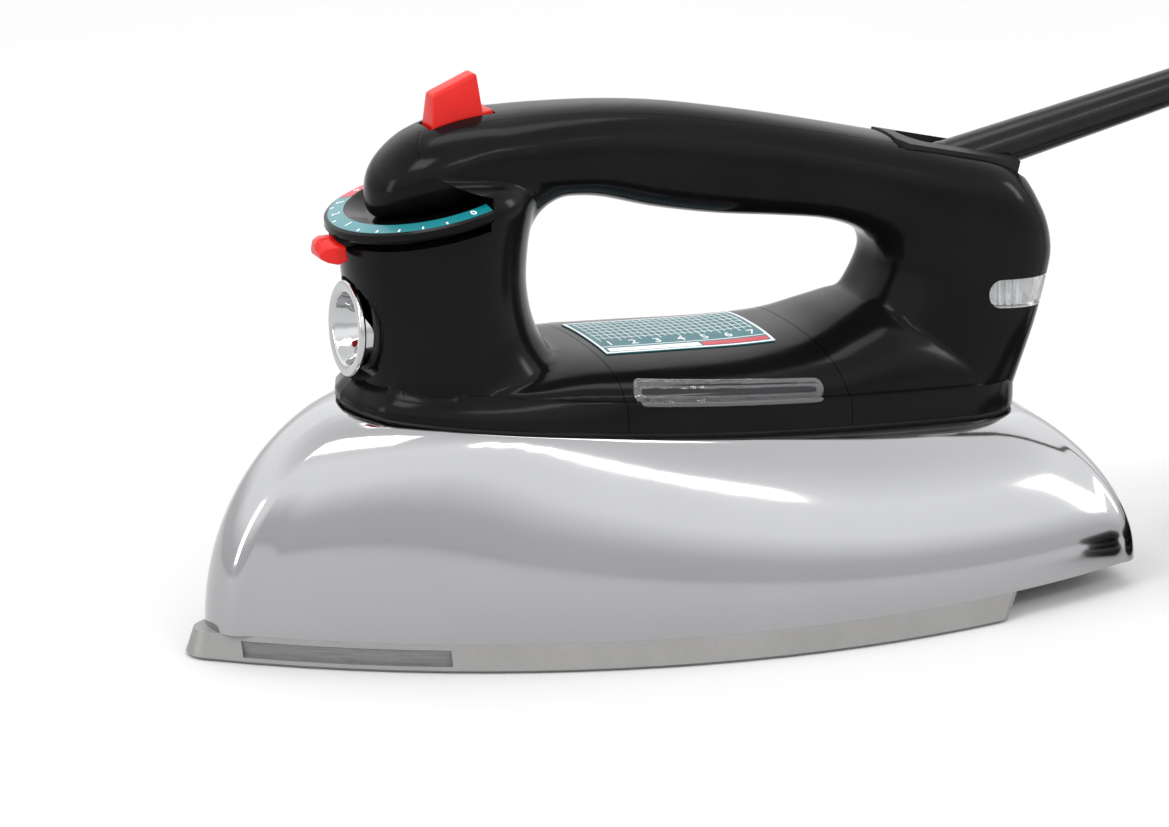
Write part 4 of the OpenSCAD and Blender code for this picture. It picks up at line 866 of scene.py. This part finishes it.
for a in np.arange(0, total + 1, 8.0):
    k = min(int(a // turn_len), 6)
    t = clamp(((a % turn_len) - (turn_len - 56)) / 56) if k < 6 else 0
    t = t * t * (3 - 2 * t)
    r0, z0 = TRACKS[k]
    r1, z1 = TRACKS[min(k + 1, 6)]
    r, z = mix(r0, r1, t), mix(z0, z1, t)
    th = math.radians(-a)
    path.append((CX + r * math.cos(th), CY + r * math.sin(th), z))
path += curve([(TIP[0] + x, y, z) for x, y, z in LEAD], 4)
path = [tuple(float(c) for c in p) for p in path]


def curve_piece(name, pts, radius, mat):
    c = bpy.data.curves.new(name, "CURVE")
    c.dimensions = "3D"
    c.bevel_depth = radius * MM
    c.bevel_resolution = 6
    c.use_fill_caps = True
    sp = c.splines.new("POLY")
    sp.points.add(len(pts) - 1)
    for q, p in zip(sp.points, pts):
        q.co = (*[v * MM for v in p], 1)
    c.materials.append(MAT[mat])
    o = bpy.data.objects.new(name, c)
    bpy.context.scene.collection.objects.link(o)
    return o


flex = curve_piece("flex", path, 3.5, "rubber")
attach(flex, "iron")
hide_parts("cord", "cord_coil", "plug_lead")
length = sum(math.dist(a, b) for a, b in zip(path, path[1:])) * MM
print("cord length", round(length, 4))

# Plug with ribs on its grip
rows = curve([(0, 4.6, 4.6), (9, 5.2, 5.2), (12, 9.5, 9), (20, 12.4, 11.4), (30, 13, 12), (33, 12.4, 11.4)], 6)
plug_at = (TIP[0] + 42, 21.3, 12)
plug = loft("plug", [[(plug_at[0] + q[0], plug_at[1] + min(q[1], 13) * power(math.cos(t), 0.6),
                       plug_at[2] + min(q[2], 12) * power(math.sin(t), 0.6))
                      for t in np.linspace(0, 2 * math.pi, 64, endpoint=False)] for q in rows], "plug")
for k in range(4):
    x = plug_at[0] + 15 + 3 * k
    boolean(plug, prism("rib", [(x, plug_at[2] - 6), (x + 1.2, plug_at[2] - 6), (x + 1.2, plug_at[2] + 6),
                                (x, plug_at[2] + 6)], plug_at[1] - 20, plug_at[1] - 11.2 - 0.2 * k))
    boolean(plug, prism("rib", [(x, plug_at[2] - 6), (x + 1.2, plug_at[2] - 6), (x + 1.2, plug_at[2] + 6),
                                (x, plug_at[2] + 6)], plug_at[1] + 11.2 + 0.2 * k, plug_at[1] + 20))
plug.data.materials.clear()
plug.data.materials.append(MAT["plug"])
smooth(plug, 40)
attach(plug, "iron")
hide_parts("plug_body")

# ---- floor, camera, light ----
floor = mesh("floor", [(-4000, -4000, 0), (4000, -4000, 0), (4000, 4000, 0), (-4000, 4000, 0)], [(0, 1, 2, 3)])
floor.location.z = -0.0001
floor.data.materials.append(material("Floor", (0.56, 0.56, 0.56), 0.8, 0, 0.01, 6, 0.03, 0.01, 300, gloss=0.1))

scene = bpy.context.scene
cam = bpy.data.objects.new("camera", bpy.data.cameras.new("camera"))
scene.collection.objects.link(cam)
scene.camera = cam
cam.data.sensor_width = 36
cam.data.lens = 153.98
target = Vector((-0.0168, 0, 0.05135))
az, el = math.radians(-22.46), math.radians(16.45)
back = Vector((math.sin(az) * math.cos(el), -math.cos(az) * math.cos(el), math.sin(el)))
cam.location = target + back * (Vector((-0.4873, -1.1382, 0.4150)) - target).length
cam.rotation_mode = "QUATERNION"
cam.rotation_quaternion = (-back).to_track_quat("-Z", "Y")


def area(name, pos, aim, size, power_w, color=(1, 1, 1)):
    d = bpy.data.lights.new(name, "AREA")
    d.shape = "RECTANGLE"
    d.size, d.size_y = size
    d.energy = power_w
    d.color = color
    o = bpy.data.objects.new(name, d)
    scene.collection.objects.link(o)
    o.location = pos
    o.rotation_mode = "QUATERNION"
    o.rotation_quaternion = (Vector(pos) - Vector(aim)).to_track_quat("Z", "Y")
    return o


area("key", (-0.75, -0.35, 1.05), (-0.05, 0, 0.07), (0.5, 0.35), 4.5)
area("top", (0.15, 0.25, 1.35), (0, 0, 0.05), (1.1, 0.4), 5)
area("front", (0.15, -1.3, 1.05), (0, 0, 0.06), (1.3, 0.12), 5)
area("left", (-1.3, 0.05, 0.35), (0, 0, 0.07), (0.2, 0.5), 2)
area("right", (1.1, -0.35, 0.5), (0.1, 0, 0.07), (0.15, 0.4), 2)

world = bpy.data.worlds.new("studio")
world.use_nodes = True
scene.world = world
nt = world.node_tree
bg = nt.nodes["Background"]
tex = nt.nodes.new("ShaderNodeTexCoord")
sep = nt.nodes.new("ShaderNodeSeparateXYZ")
nt.links.new(tex.outputs["Generated"], sep.inputs["Vector"])
sky = ramp(nt, sep.outputs["Z"], [(0.0, (0.47, 0.47, 0.475)), (0.12, (0.5, 0.5, 0.505)), (0.3, (0.86, 0.86, 0.865)),
                                  (0.55, (0.9, 0.9, 0.9)), (0.75, (0.7, 0.7, 0.7)), (1.0, (0.6, 0.6, 0.6))])
nt.links.new(sky, bg.inputs["Color"])
bg.inputs["Strength"].default_value = 1.9
scene.view_settings.view_transform = "Standard"
scene.view_settings.look = "None"
